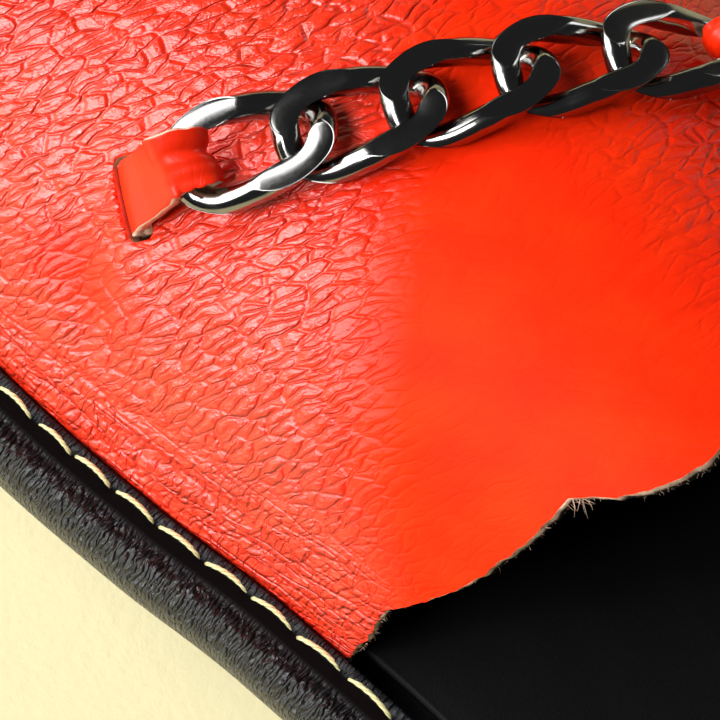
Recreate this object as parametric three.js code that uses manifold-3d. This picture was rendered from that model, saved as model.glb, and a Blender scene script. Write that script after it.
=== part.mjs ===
// House slipper for the right foot: backless, with a red leather vamp cut in scallops at the throat,
// a black footbed in a stitched black rand, a low wedge sole, and a curb chain across the vamp.
// Millimetres. +X runs from the back of the heel to the toe, +Y to the inner (medial) side, +Z up.
import * as THREE from 'three';
import { mergeVertices } from 'three/addons/utils/BufferGeometryUtils.js';
import Module from 'manifold-3d';

const wasm = await Module();
wasm.setup();

// Footbed: its plan and the level of its edge above the floor
const FOOTBED_LENGTH = 248;
const HEEL_WIDTH = 57;
const BALL_WIDTH = 88;
const HEEL_LEVEL = 33;
const BALL_LEVEL = 19;
const TOE_LIFT = 6.5;
const FOOTBED_THICKNESS = 5;
const HEEL_CUP_DEPTH = 2.4;
const FOREPART_DIP = 1.2;
const ARCH_RISE = 2;

// Sole
const OUTSOLE_THICKNESS = 4;
const OUTSOLE_OVERHANG = 5.6;
const MIDSOLE_OVERHANG = 4.7;
const TOE_SPRING = 7;
const ARCH_HOLLOW = 2;
const GROOVE_WIDTH = 3;
const GROOVE_DEPTH = 1.5;

// Rand: a stitched flange beside the footbed, a channel, and a rounded roll that hides the wedge
const FLANGE_WIDTH = 1.7;
const FLANGE_HEIGHT = 0.7;
const CHANNEL_DEPTH = 0.9;
const ROLL_START = 4.6;
const RAND_WIDTH = 8.6;
const RAND_DROP = 12;

// Upper
const UPPER_WALL = 1.6;
const TUCK_DEPTH = 2.6;
const THROAT_HEIGHT = 43;
const TOE_HEIGHT = 21;
const SCALLOP_DEPTH = 2.8;

// Chain, its two leather tabs and the slits that hold them
const LINK_COUNT = 5;
const LINK_LENGTH = 17.6;
const LINK_WIDTH = 11.6;
const LINK_BAND = 3;
const LINK_THICKNESS = 1.9;
const LINK_TWIST = 1.8;
const LINK_HEIGHT = 3.2;
const LINK_HAND = -1;
const LINK_SQUARENESS = 0.8;
const LINK_SLACK = 1.1;
const TAB_THICKNESS = 1.1;
const TAB_WIDTH = 7;
const TAB_FOLD_WIDTH = 2;
const TAB_MARGIN = 5.5;
const TAB_SLACK = 0.75;
const TAB_REACH = 6.8;
const TAB_LIFT = 1.15;
const TAB_BEND = 0.9;
const SLIT_LENGTH = 9;

// Clearance between neighbouring pieces
const GAP = 0.3;

// Shares of the length between which the footbed falls from heel to ball, the toe lifts, the outsole
// is hollow under the arch, and it springs up to the toe
const FALL = { from: 0.04, to: 0.77 };
const LIFT = { from: 0.745, to: 1 };
const HOLLOW = { from: 0.3, to: 0.53 };
const SPRING = { from: 0.79, to: 1 };

// Plan of the footbed edge, in rows from heel to toe: along is a share of the length, ball tells how
// far the width has grown from the heel's to the ball's, medial and lateral are shares of that width
const PLAN_ROWS = [
  { along: 0.024, ball: 0.0, medial: 0.316, lateral: -0.316 },
  { along: 0.113, ball: 0.0, medial: 0.5, lateral: -0.5 },
  { along: 0.25, ball: 0.12, medial: 0.469, lateral: -0.503 },
  { along: 0.387, ball: 0.45, medial: 0.385, lateral: -0.505 },
  { along: 0.5, ball: 0.78, medial: 0.39, lateral: -0.508 },
  { along: 0.573, ball: 0.95, medial: 0.42, lateral: -0.51 },
  { along: 0.653, ball: 1.0, medial: 0.458, lateral: -0.51 },
  { along: 0.766, ball: 1.0, medial: 0.494, lateral: -0.484 },
  { along: 0.879, ball: 1.0, medial: 0.426, lateral: -0.39 },
  { along: 0.964, ball: 1.0, medial: 0.273, lateral: -0.19 },
];
const TOE_TIP = { along: 0.998, across: 0.05 };

// Ridge of the vamp, from the throat to the toe: height above the footbed edge, as the share by
// which it has fallen from the throat's height to the toe's
const RIDGE_ROWS = [
  { along: 0, fallen: 0 },
  { along: 0.25, fallen: 0.27 },
  { along: 0.5, fallen: 0.55 },
  { along: 0.75, fallen: 0.8 },
  { along: 1, fallen: 1 },
];
const THROAT = { medial: 0.476, lateral: 0.423, ridge: 0.431, ridgeAcross: -0.02 };
const TOE_END = { along: 0.863, across: 0.03 };
const RIDGE_CROWDING = 1.7;
const SHOULDER = { throat: 1.3, toe: 1.05 };

// Scallops of the throat edge, from the medial corner over the ridge to the lateral corner: where
// each one ends, from -1 at the medial footbed edge to 1 at the lateral one, and its facets
const SCALLOPS = [
  { ends: -0.69, depth: 0.3, facets: 5 },
  { ends: -0.25, depth: 1, facets: 8 },
  { ends: 0.04, depth: 1, facets: 6 },
  { ends: 0.33, depth: 1, facets: 6 },
  { ends: 0.67, depth: 1, facets: 7 },
  { ends: 1, depth: 0.3, facets: 6 },
];

// The chain's line over the vamp, straight in the vamp's own two directions
const CHAIN_LINE = { medial: -0.379, atRidge: 0.2765, drift: -0.14 };

const RUNS_ALONG = 20;
const RAND_STEPS = 96;
const SOLE_STATIONS = 36;

const material = (color, roughness, metalness = 0) => (
  new THREE.MeshStandardMaterial({ color, roughness, metalness })
);
const redLeather = material(0xd91f12, 0.45);
const blackLeather = material(0x171719, 0.6);
const blackSuede = material(0x0c0c0d, 0.95);
const blackFoam = material(0x1b1b1c, 0.8);
const blackRubber = material(0x141414, 0.7);
const gunmetal = material(0x35363a, 0.25, 1);

// How far a value has gone from the start of a stretch to its end, never under 0
const shareOf = (value, { from, to }) => Math.max(0, (value - from) / (to - from));

// A smooth rise from 0 to 1 as the share goes from 0 to 1
function smoothRise(share) {
  const t = THREE.MathUtils.clamp(share, 0, 1);
  return t * t * (3 - 2 * t);
}

// A straight run through rows of a table, read at one value
function readTable(rows, key, value, column) {
  const next = Math.max(1, rows.findIndex((row) => row[key] >= value));
  const a = rows[next - 1];
  const b = rows[next];
  const share = THREE.MathUtils.clamp((value - a[key]) / (b[key] - a[key]), 0, 1);
  return a[column] + (b[column] - a[column]) * share;
}

// Level of the footbed's edge above the floor: high at the heel, low at the ball, lifted at the toe
function edgeLevel(x) {
  const share = x / FOOTBED_LENGTH;
  const high = 1 - smoothRise(shareOf(share, FALL));
  return BALL_LEVEL + (HEEL_LEVEL - BALL_LEVEL) * high + TOE_LIFT * shareOf(share, LIFT) ** 2;
}

// Level of the outsole's underside: flat at heel and forepart, hollow at the arch, sprung at the toe
function groundLevel(x) {
  const share = x / FOOTBED_LENGTH;
  const arch = Math.sin(Math.PI * Math.min(shareOf(share, HOLLOW), 1)) ** 2;
  return TOE_SPRING * shareOf(share, SPRING) ** 2 + ARCH_HOLLOW * arch;
}

const widthAt = (ball) => HEEL_WIDTH + (BALL_WIDTH - HEEL_WIDTH) * ball;

// The footbed edge as one smooth closed curve: from the heel's back along the medial side to the toe
// and back along the lateral side
function footbedCurve() {
  const point = (row, side) => (
    new THREE.Vector3(row.along * FOOTBED_LENGTH, row[side] * widthAt(row.ball), 0)
  );
  const tip = new THREE.Vector3(TOE_TIP.along * FOOTBED_LENGTH, TOE_TIP.across * BALL_WIDTH, 0);
  const medial = PLAN_ROWS.map((row) => point(row, 'medial'));
  const lateral = PLAN_ROWS.map((row) => point(row, 'lateral')).reverse();
  const points = [new THREE.Vector3(0, 0, 0), ...medial, tip, ...lateral];
  return new THREE.CatmullRomCurve3(points, true, 'catmullrom', 0.5);
}
const EDGE = footbedCurve();
EDGE.arcLengthDivisions = 2000;

// The edge moved outward by a distance, or by a distance that depends on the place, in equal steps
function offsetEdge(outward, steps) {
  return Array.from({ length: steps }, (_, i) => {
    const p = EDGE.getPointAt(i / steps);
    const t = EDGE.getTangentAt(i / steps);
    const isMedial = i < steps * MEDIAL_SHARE;
    const n = typeof outward === 'number' ? outward : outward(p.x, isMedial);
    return new THREE.Vector2(p.x - t.y * n, p.y + t.x * n);
  });
}

// Share of the edge's length that lies on the medial side, up to the foremost point
function medialShare() {
  const steps = 2000;
  let best = 0;
  let front = -Infinity;
  for (let i = 0; i < steps; i += 1) {
    const x = EDGE.getPointAt(i / steps).x;
    if (x > front) {
      front = x;
      best = i / steps;
    }
  }
  return best;
}
const MEDIAL_SHARE = medialShare();

// Both sides of an offset edge, as functions that give the crosswise place at a length x
function sidesOf(outward) {
  const line = offsetEdge(outward, 720);
  const indexOf = (pick) => line.reduce((best, p, i) => (pick(p.x, line[best].x) ? i : best), 0);
  const back = indexOf((x, best) => x < best);
  const front = indexOf((x, best) => x > best);
  const walk = (from, step) => {
    const points = [];
    for (let i = from; ; i = (i + step + line.length) % line.length) {
      points.push(line[i]);
      if (i === front) return points;
    }
  };
  const read = (points) => (x) => {
    let i = 1;
    while (i < points.length - 1 && points[i].x < x) i += 1;
    const share = THREE.MathUtils.clamp((x - points[i - 1].x) / (points[i].x - points[i - 1].x), 0, 1);
    return THREE.MathUtils.lerp(points[i - 1].y, points[i].y, share);
  };
  return {
    back: line[back].x,
    front: line[front].x,
    medial: read(walk(back, 1)),
    lateral: read(walk(back, -1)),
  };
}

// A triangle mesh as a BufferGeometry with its shared vertices joined
function closedGeometry(positions, triangles) {
  const geometry = new THREE.BufferGeometry();
  geometry.setAttribute('position', new THREE.Float32BufferAttribute(positions.flat(), 3));
  geometry.setIndex(triangles.flat());
  const merged = mergeVertices(geometry, 1e-4);
  const index = merged.index.array;
  const kept = [];
  for (let i = 0; i < index.length; i += 3) {
    const [a, b, c] = [index[i], index[i + 1], index[i + 2]];
    if (a !== b && b !== c && c !== a) kept.push(a, b, c);
  }
  merged.setIndex(kept);
  return merged;
}

// Outward directions at the vertices of a triangle mesh whose seams are not joined yet
function surfaceNormals(points, triangles) {
  const geometry = new THREE.BufferGeometry().setFromPoints(points);
  geometry.setIndex(triangles.flat());
  const merged = mergeVertices(geometry, 1e-4);
  merged.computeVertexNormals();
  const normals = [];
  triangles.flat().forEach((vertex, i) => {
    normals[vertex] = new THREE.Vector3().fromBufferAttribute(merged.attributes.normal, merged.index.getX(i));
  });
  return normals;
}

// Triangles of a grid of vertices, rows by columns, starting at one index
function gridTriangles(start, rows, columns, flip = false) {
  const triangles = [];
  for (let r = 0; r < rows - 1; r += 1) {
    for (let c = 0; c < columns - 1; c += 1) {
      const a = start + r * columns + c;
      const b = a + columns;
      if (flip) triangles.push([a, a + 1, b], [a + 1, b + 1, b]);
      else triangles.push([a, b, a + 1], [a + 1, b, b + 1]);
    }
  }
  return triangles;
}

// A plate between two surfaces over the footbed's plan. Stations run from back to front, crowded at
// both ends, and columns from the lateral to the medial side. level gives z from x and the share
// across, which is -1 at the lateral edge and 1 at the medial one.
function plate(bottomOutward, topOutward, bottomLevel, topLevel, columns) {
  const layer = (outward, level) => {
    const sides = sidesOf(outward);
    const points = [];
    for (let k = 0; k <= SOLE_STATIONS; k += 1) {
      const x = sides.back + (sides.front - sides.back) * (1 - Math.cos(Math.PI * k / SOLE_STATIONS)) / 2;
      const lateral = sides.lateral(x);
      const medial = sides.medial(x);
      for (let c = 0; c <= columns; c += 1) {
        const across = 2 * c / columns - 1;
        const atTip = k === 0 || k === SOLE_STATIONS;
        const y = atTip ? (lateral + medial) / 2 : lateral + (medial - lateral) * (across + 1) / 2;
        points.push([x, y, level(x, atTip ? 0 : across, atTip)]);
      }
    }
    return points;
  };
  const bottom = layer(bottomOutward, bottomLevel);
  const top = layer(topOutward, topLevel);
  const size = bottom.length;
  const stride = columns + 1;
  const triangles = [
    ...gridTriangles(0, SOLE_STATIONS + 1, stride, true),
    ...gridTriangles(size, SOLE_STATIONS + 1, stride, false),
  ];
  for (let k = 0; k < SOLE_STATIONS; k += 1) {
    const a = k * stride;
    const b = a + stride;
    const c = a + columns;
    const d = b + columns;
    triangles.push([a, b, a + size], [b, b + size, a + size]);
    triangles.push([c, c + size, d], [d, c + size, d + size]);
  }
  return closedGeometry([...bottom, ...top], triangles);
}

// Solids for joins and cuts
function toManifold(geometry) {
  const bare = geometry.clone();
  bare.deleteAttribute('normal');
  bare.deleteAttribute('uv');
  const merged = mergeVertices(bare, 1e-4);
  return new wasm.Manifold(new wasm.Mesh({
    numProp: 3,
    vertProperties: new Float32Array(merged.attributes.position.array),
    triVerts: new Uint32Array(merged.index.array),
  }));
}

function fromManifold(solid) {
  const mesh = solid.getMesh();
  const geometry = new THREE.BufferGeometry();
  geometry.setAttribute('position', new THREE.Float32BufferAttribute(mesh.vertProperties, 3));
  geometry.setIndex(Array.from(mesh.triVerts));
  return geometry;
}

// Surface of the vamp
// A side's foot line follows the footbed edge from the throat corner to the toe tip.
function footLine(isMedial, corner) {
  const steps = 1200;
  const points = [];
  for (let i = 0; i <= steps; i += 1) {
    const share = isMedial ? MEDIAL_SHARE * i / steps : 1 - (1 - MEDIAL_SHARE) * i / steps;
    const p = EDGE.getPointAt(share % 1);
    if (p.x >= corner) points.push(new THREE.Vector3(p.x, p.y, 0));
  }
  const lengths = [0];
  for (let i = 1; i < points.length; i += 1) {
    lengths.push(lengths[i - 1] + points[i].distanceTo(points[i - 1]));
  }
  const total = lengths[lengths.length - 1];
  const start = points[4].clone().sub(points[0]).multiplyScalar(total / lengths[4]);
  return (share) => {
    if (share <= 0) return points[0].clone().addScaledVector(start, share);
    const target = Math.min(share, 1) * total;
    let i = 1;
    while (i < points.length - 1 && lengths[i] < target) i += 1;
    const within = (target - lengths[i - 1]) / (lengths[i] - lengths[i - 1]);
    return points[i - 1].clone().lerp(points[i], within);
  };
}
const MEDIAL_FOOT = footLine(true, THROAT.medial * FOOTBED_LENGTH);
const LATERAL_FOOT = footLine(false, THROAT.lateral * FOOTBED_LENGTH);

// The ridge of the vamp, from the throat at 0 to the start of the toe's dome at 1
function ridgePoint(along) {
  const eased = along < 0 ? RIDGE_CROWDING * along : 1 - (1 - Math.min(along, 1)) ** RIDGE_CROWDING;
  const x = THREE.MathUtils.lerp(THROAT.ridge, TOE_END.along, eased) * FOOTBED_LENGTH;
  const y = THREE.MathUtils.lerp(THROAT.ridgeAcross, TOE_END.across, eased) * BALL_WIDTH;
  const first = RIDGE_ROWS[1];
  const fallen = eased < 0
    ? eased * first.fallen / first.along
    : readTable(RIDGE_ROWS, 'along', eased, 'fallen');
  const height = THROAT_HEIGHT + (TOE_HEIGHT - THROAT_HEIGHT) * fallen;
  return new THREE.Vector3(x, y, edgeLevel(x) + height);
}

// A point of the vamp's outer surface. along goes from 0 at the throat to 1 at the toe tip, and
// across from -1 at the medial footbed edge over the ridge at 0 to 1 at the lateral edge. Each side
// is a bent quarter of an oval from its foot line to the ridge, which it meets level.
function vampPoint(along, across) {
  const foot = (across < 0 ? MEDIAL_FOOT : LATERAL_FOOT)(along);
  foot.z = edgeLevel(foot.x);
  const ridge = ridgePoint(along);
  const centre = Math.min(along, 0.96);
  const run = ridgePoint(centre + 0.01).sub(ridgePoint(centre - 0.01));
  const plan = Math.hypot(run.x, run.y);
  const span = ridge.clone().sub(foot);
  const tilt = (span.x * run.x + span.y * run.y) / plan * run.z / plan;
  const angle = (1 - Math.abs(across)) * Math.PI / 2;
  const shoulder = THREE.MathUtils.lerp(SHOULDER.throat, SHOULDER.toe, THREE.MathUtils.clamp(along, 0, 1));
  const inward = 1 - Math.cos(angle);
  const upward = Math.sin(angle) ** shoulder;
  return new THREE.Vector3(
    foot.x + span.x * inward,
    foot.y + span.y * inward,
    foot.z + (span.z - tilt) * upward + tilt * inward,
  );
}

// Outward direction of the vamp's surface
function vampNormal(along, across) {
  const step = 0.004;
  const back = Math.max(across - step, -1);
  const front = Math.min(across + step, 1);
  const u = vampPoint(Math.min(along + step, 0.999), across).sub(vampPoint(along - step, across));
  const v = vampPoint(along, front).sub(vampPoint(along, back));
  return u.cross(v).normalize().negate();
}

// Crosswise stations of the vamp, with how far the throat's edge bulges towards the heel at each
function throatStations() {
  const stations = [{ across: -1, bulge: 0 }];
  let from = -1;
  for (const { ends, depth, facets } of SCALLOPS) {
    for (let i = 1; i <= facets; i += 1) {
      const share = i / facets;
      stations.push({
        across: from + (ends - from) * share,
        bulge: depth * SCALLOP_DEPTH * (1 - (2 * share - 1) ** 2),
      });
    }
    from = ends;
  }
  return stations;
}

// The vamp as one hollow shell: an outer skin, an inner skin a wall's thickness inside it, and the
// edge between them. Below the footbed edge both skins go straight down into the slot beside it.
function upperGeometry() {
  const stations = throatStations();
  const columns = stations.length + 2;
  const outer = [];
  for (let r = 0; r <= RUNS_ALONG; r += 1) {
    const share = r / RUNS_ALONG;
    const row = stations.map(({ across, bulge }, i) => {
      const even = -Math.abs(2 * i / (stations.length - 1) - 1);
      const place = r === RUNS_ALONG
        ? even
        : THREE.MathUtils.lerp(across, 2 * i / (stations.length - 1) - 1, smoothRise(share));
      const scale = vampPoint(0.01, across).distanceTo(vampPoint(0, across)) / 0.01;
      return vampPoint(share ** 1.1 - bulge / scale * (1 - share) ** 5, place);
    });
    const tuck = (p) => new THREE.Vector3(p.x, p.y, p.z - TUCK_DEPTH);
    outer.push(tuck(row[0]), ...row, tuck(row[row.length - 1]));
  }
  const rows = RUNS_ALONG + 1;
  const skin = gridTriangles(0, rows, columns, true);
  const normals = surfaceNormals(outer, skin);
  const inner = outer.map((p, i) => {
    const column = i % columns;
    const n = normals[i];
    if (column <= 1 || column >= columns - 2) n.setZ(0).normalize();
    return p.clone().addScaledVector(n, -UPPER_WALL);
  });
  const size = outer.length;
  const triangles = [...skin, ...gridTriangles(size, rows, columns, false)];
  for (let c = 0; c < columns - 1; c += 1) {
    triangles.push([c, c + size, c + 1], [c + 1, c + size, c + 1 + size]);
  }
  for (let r = 0; r < rows - 1; r += 1) {
    const a = r * columns;
    const b = a + columns;
    const c = a + columns - 1;
    const d = b + columns - 1;
    triangles.push([a, b, a + size], [b, b + size, a + size]);
    triangles.push([c, c + size, d], [d, c + size, d + size]);
  }
  return closedGeometry([...outer, ...inner].map((p) => p.toArray()), triangles);
}

// The chain's line on the vamp, measured in millimetres from the medial slit
function chainLine() {
  const samples = [];
  for (let i = 0; i <= 400; i += 1) {
    const across = -0.8 + 1.7 * i / 400;
    const along = CHAIN_LINE.atRidge + CHAIN_LINE.drift * across;
    samples.push({ across, along, point: vampPoint(along, across), length: 0 });
  }
  for (let i = 1; i < samples.length; i += 1) {
    samples[i].length = samples[i - 1].length + samples[i].point.distanceTo(samples[i - 1].point);
  }
  const zero = readTable(samples, 'across', CHAIN_LINE.medial, 'length');
  for (const sample of samples) sample.length -= zero;
  const at = (length) => {
    const across = readTable(samples, 'length', length, 'across');
    const along = CHAIN_LINE.atRidge + CHAIN_LINE.drift * across;
    return { point: vampPoint(along, across), normal: vampNormal(along, across) };
  };
  return (length, height) => {
    const here = at(length);
    const tangent = at(length + 0.5).point.sub(at(length - 0.5).point).normalize();
    const normal = here.normal.clone().addScaledVector(tangent, -here.normal.dot(tangent)).normalize();
    const side = normal.clone().cross(tangent).normalize();
    return { position: here.point.addScaledVector(normal, height), tangent, normal, side };
  };
}
const ON_CHAIN = chainLine();

const PITCH = LINK_LENGTH - 2 * LINK_BAND - LINK_SLACK;
const FIRST_LINK = TAB_REACH + LINK_LENGTH / 2 - LINK_BAND / 2;
const CHAIN_SPAN = 2 * FIRST_LINK + PITCH * (LINK_COUNT - 1);
const RIDE_HEIGHT = LINK_HEIGHT / 2 + GAP;

// Height of the chain's middle above the vamp: it is lifted at both ends by the folded tab under it
function rideHeight(length) {
  const fromEnd = Math.min(length, CHAIN_SPAN - length);
  return RIDE_HEIGHT + TAB_LIFT * (1 - smoothRise((fromEnd - TAB_REACH) / (LINK_LENGTH * 0.9)));
}

// Place and directions of one link: its middle on the chain's line, its length along the chord of
// the line under it
function linkFrame(i) {
  const middle = FIRST_LINK + PITCH * i;
  const reach = LINK_LENGTH / 3;
  const before = ON_CHAIN(middle - reach, rideHeight(middle - reach)).position;
  const after = ON_CHAIN(middle + reach, rideHeight(middle + reach)).position;
  const { position, normal } = ON_CHAIN(middle, rideHeight(middle));
  const x = after.sub(before).normalize();
  const z = normal.addScaledVector(x, -normal.dot(x)).normalize();
  return { position, x, y: z.clone().cross(x), z };
}

// Where the outer end bar of the first or the last link lies: its distance from the medial slit
// along the chain's line, its height above the vamp and how far it leans along its width
function endBar(i, direction) {
  const { position, x } = linkFrame(i);
  const bar = position.addScaledVector(x, -direction * (LINK_LENGTH - LINK_BAND) / 2);
  let length = FIRST_LINK + PITCH * i - direction * (LINK_LENGTH - LINK_BAND) / 2;
  for (let step = 0; step < 8; step += 1) {
    const here = ON_CHAIN(length, 0);
    length += bar.clone().sub(here.position).dot(here.tangent) * 0.8;
  }
  const foot = ON_CHAIN(length, 0);
  const height = bar.sub(foot.position).dot(foot.normal);
  const end = direction > 0 ? Math.PI : 0;
  const across = linkPath(end - direction * 0.25).sub(linkPath(end + direction * 0.25));
  return { length, height, lean: Math.atan2(across.z, across.y) };
}

// Middle line of a link about its own centre: a squarish oval, twisted about its long axis so that
// neighbours pass over each other. The hand tells which way round the twist goes.
function linkPath(turn) {
  const c = Math.cos(turn);
  const s = Math.sin(turn);
  return new THREE.Vector3(
    (LINK_LENGTH - LINK_BAND) / 2 * Math.sign(c) * Math.abs(c) ** LINK_SQUARENESS,
    (LINK_WIDTH - LINK_BAND) / 2 * Math.sign(s) * Math.abs(s) ** LINK_SQUARENESS,
    LINK_HAND * LINK_TWIST * Math.sin(2 * turn),
  );
}

// One curb link: a band round that line, with its broad faces ground flat
function linkGeometry() {
  const around = 26;
  const face = 0.62;
  const side = 0.42;
  const upper = [[1, side], [face, 1], [-face, 1], [-1, side]];
  const corners = [...upper, ...upper.map(([wide, thick]) => [-wide, -thick])];
  const positions = [];
  for (let i = 0; i < around; i += 1) {
    const turn = 2 * Math.PI * (i + 0.5) / around;
    const centre = linkPath(turn);
    const tangent = linkPath(turn + 0.02).sub(linkPath(turn - 0.02)).normalize();
    const outward = new THREE.Vector3(tangent.y, -tangent.x, 0).normalize();
    const up = outward.clone().cross(tangent).normalize();
    for (const [wide, thick] of corners) {
      const p = centre.clone()
        .addScaledVector(outward, wide * LINK_BAND / 2)
        .addScaledVector(up, thick * LINK_THICKNESS / 2);
      p.z = THREE.MathUtils.clamp(p.z, -LINK_HEIGHT / 2, LINK_HEIGHT / 2);
      positions.push(p.toArray());
    }
  }
  const size = corners.length;
  const triangles = [];
  for (let i = 0; i < around; i += 1) {
    for (let k = 0; k < size; k += 1) {
      const a = i * size + k;
      const b = i * size + (k + 1) % size;
      const c = ((i + 1) % around) * size + k;
      const d = ((i + 1) % around) * size + (k + 1) % size;
      triangles.push([a, c, b], [b, c, d]);
    }
  }
  return closedGeometry(positions, triangles);
}

// A ribbon along a path of frames: each has a centre, a width direction, a thickness direction and
// a width
function ribbonGeometry(frames, thickness) {
  const positions = frames.flatMap(({ centre, side, up, width }) => (
    [[1, 1], [-1, 1], [-1, -1], [1, -1]].map(([w, t]) => centre.clone()
      .addScaledVector(side, w * width / 2)
      .addScaledVector(up, t * thickness / 2)
      .toArray())
  ));
  const triangles = [[0, 1, 2], [0, 2, 3]];
  for (let i = 0; i < frames.length - 1; i += 1) {
    for (let k = 0; k < 4; k += 1) {
      const a = i * 4 + k;
      const b = i * 4 + (k + 1) % 4;
      triangles.push([a, a + 4, b], [b, a + 4, b + 4]);
    }
  }
  const last = (frames.length - 1) * 4;
  triangles.push([last, last + 2, last + 1], [last, last + 3, last + 2]);
  return closedGeometry(positions, triangles);
}

// A tab: a strip that lies under the vamp, comes up through its slit, turns over the end bar of the
// chain and goes back down beside itself. It starts at fromSlit and runs in direction along the
// chain's line; bar says where the end bar is.
function tabGeometry(fromSlit, direction, bar) {
  const half = TAB_THICKNESS / 2;
  const reach = Math.abs(bar.length - fromSlit);
  const ply = half + GAP / 2;
  const underneath = -UPPER_WALL - 2 * GAP - half;
  const turnOut = LINK_BAND / 2 + GAP + half + TAB_SLACK / 2;
  const turnUp = LINK_THICKNESS / 2 + GAP + half + TAB_SLACK;
  const lowest = GAP + half + TAB_FOLD_WIDTH / 2 * Math.abs(Math.sin(bar.lean));
  const turns = [105, 75, 45, 15, -15, -45, -75, -105];
  const loop = turns.map((degrees) => {
    const turn = THREE.MathUtils.degToRad(degrees);
    return {
      out: reach + turnOut * Math.cos(turn),
      up: Math.max(bar.height + turnUp * Math.sin(turn), lowest),
      width: TAB_FOLD_WIDTH,
      lean: bar.lean,
    };
  });
  const route = [
    { out: -ply - TAB_MARGIN, up: underneath, width: TAB_WIDTH },
    { out: -ply - TAB_BEND * 0.45, up: underneath, width: TAB_WIDTH },
    { out: -ply, up: underneath + TAB_BEND, width: TAB_WIDTH },
    { out: -ply, up: TAB_BEND * 0.22, width: TAB_WIDTH },
    { out: -ply + TAB_BEND * 0.55, up: TAB_BEND * 1.55, width: TAB_WIDTH },
    { out: reach * 0.35, up: bar.height + turnUp * 0.8, width: TAB_WIDTH * 0.9, lean: bar.lean * 0.7 },
    ...loop,
    { out: reach * 0.5, up: GAP + half, width: TAB_WIDTH * 0.6 },
    { out: ply + TAB_BEND * 0.55, up: GAP + half * 0.7, width: TAB_WIDTH * 0.8 },
    { out: ply, up: -TAB_BEND * 0.4, width: TAB_WIDTH },
    { out: ply, up: underneath + TAB_BEND, width: TAB_WIDTH },
    { out: ply + TAB_BEND * 0.45, up: underneath, width: TAB_WIDTH },
    { out: ply + TAB_MARGIN, up: underneath, width: TAB_WIDTH },
  ];
  const places = route.map(({ out, up, width, lean = 0 }) => {
    const { position, side, normal } = ON_CHAIN(fromSlit + direction * out, up);
    const leaned = side.multiplyScalar(Math.cos(lean)).addScaledVector(normal, Math.sin(lean));
    return { centre: position, side: leaned, width };
  });
  const frames = places.map(({ centre, side, width }, i) => {
    const before = places[Math.max(i - 1, 0)].centre;
    const after = places[Math.min(i + 1, places.length - 1)].centre;
    const run = after.clone().sub(before).normalize();
    return { centre, side, up: side.clone().cross(run).normalize(), width };
  });
  return ribbonGeometry(frames, TAB_THICKNESS);
}

// A slit's cutter: a block across the chain's line, as wide as both plies of the tab with clearance
function slitCutter(fromSlit) {
  const { position, tangent, normal, side } = ON_CHAIN(fromSlit, 0);
  const width = 2 * TAB_THICKNESS + 3 * GAP;
  const block = new THREE.BoxGeometry(width, SLIT_LENGTH, 8 * UPPER_WALL);
  block.applyMatrix4(new THREE.Matrix4().makeBasis(tangent, side, normal).setPosition(position));
  return block;
}

// The rand: one closed ring, its section carried round the footbed edge. out is the distance from
// the edge and up the height above it.
function randGeometry() {
  const top = FLANGE_HEIGHT;
  const channel = top - CHANNEL_DEPTH;
  const section = [
    { out: GAP, up: -FOOTBED_THICKNESS },
    { out: GAP, up: top - 0.4 },
    { out: GAP + 0.4, up: top },
    { out: GAP + FLANGE_WIDTH, up: top - 0.1 },
    { out: GAP + FLANGE_WIDTH + 0.4, up: channel },
    { out: ROLL_START - 0.9, up: channel - 0.5 },
    { out: ROLL_START, up: channel - 0.7 },
    { out: ROLL_START + 1, up: channel - 0.1 },
    { out: RAND_WIDTH - 1.6, up: channel - 0.5 },
    { out: RAND_WIDTH - 0.4, up: channel - 2 },
    { out: RAND_WIDTH, up: channel - 4.5 },
    { out: RAND_WIDTH - 0.5, up: -RAND_DROP * 0.8 },
    { out: MIDSOLE_OVERHANG + GAP + 0.8, up: -RAND_DROP },
    { out: MIDSOLE_OVERHANG + GAP, up: -RAND_DROP },
    { out: MIDSOLE_OVERHANG + GAP, up: -FOOTBED_THICKNESS },
  ];
  const positions = [];
  const rings = section.map(({ out }) => offsetEdge(out, RAND_STEPS));
  for (let i = 0; i < RAND_STEPS; i += 1) {
    section.forEach(({ up }, k) => {
      const p = rings[k][i];
      positions.push([p.x, p.y, edgeLevel(p.x) + up]);
    });
  }
  const size = section.length;
  const triangles = [];
  for (let i = 0; i < RAND_STEPS; i += 1) {
    for (let k = 0; k < size; k += 1) {
      const a = i * size + k;
      const b = i * size + (k + 1) % size;
      const c = ((i + 1) % RAND_STEPS) * size + k;
      const d = ((i + 1) % RAND_STEPS) * size + (k + 1) % size;
      triangles.push([a, c, b], [b, c, d]);
    }
  }
  return closedGeometry(positions, triangles);
}

// Where the vamp stands in its slot, the footbed's edge steps back by the vamp's wall. The step is
// complete one station before the throat's corner.
function footbedInset(x, isMedial) {
  const corner = (isMedial ? THROAT.medial : THROAT.lateral) * FOOTBED_LENGTH;
  const station = Math.PI / 2 * FOOTBED_LENGTH / SOLE_STATIONS;
  return -GAP - (UPPER_WALL + GAP) * smoothRise((x - corner + 2 * station) / station);
}

// Top of the footbed: cupped at the heel, raised at the arch, a little hollow at the forepart
function footbedTop(x, across) {
  const share = x / FOOTBED_LENGTH;
  const heel = 1 - smoothRise((share - 0.15) / 0.3);
  const arch = Math.sin(Math.PI * THREE.MathUtils.clamp((share - 0.25) / 0.35, 0, 1)) ** 2;
  const dip = FOREPART_DIP + (HEEL_CUP_DEPTH - FOREPART_DIP) * heel;
  const middle = 1 - Math.abs(across) ** 3;
  return edgeLevel(x) - dip * middle + ARCH_RISE * arch * Math.max(0, across) * middle;
}

function insoleGeometry() {
  return plate(
    footbedInset,
    footbedInset,
    (x) => edgeLevel(x) - FOOTBED_THICKNESS,
    (x, across, atTip) => (atTip ? edgeLevel(x) : footbedTop(x, across)),
    10,
  );
}

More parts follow.
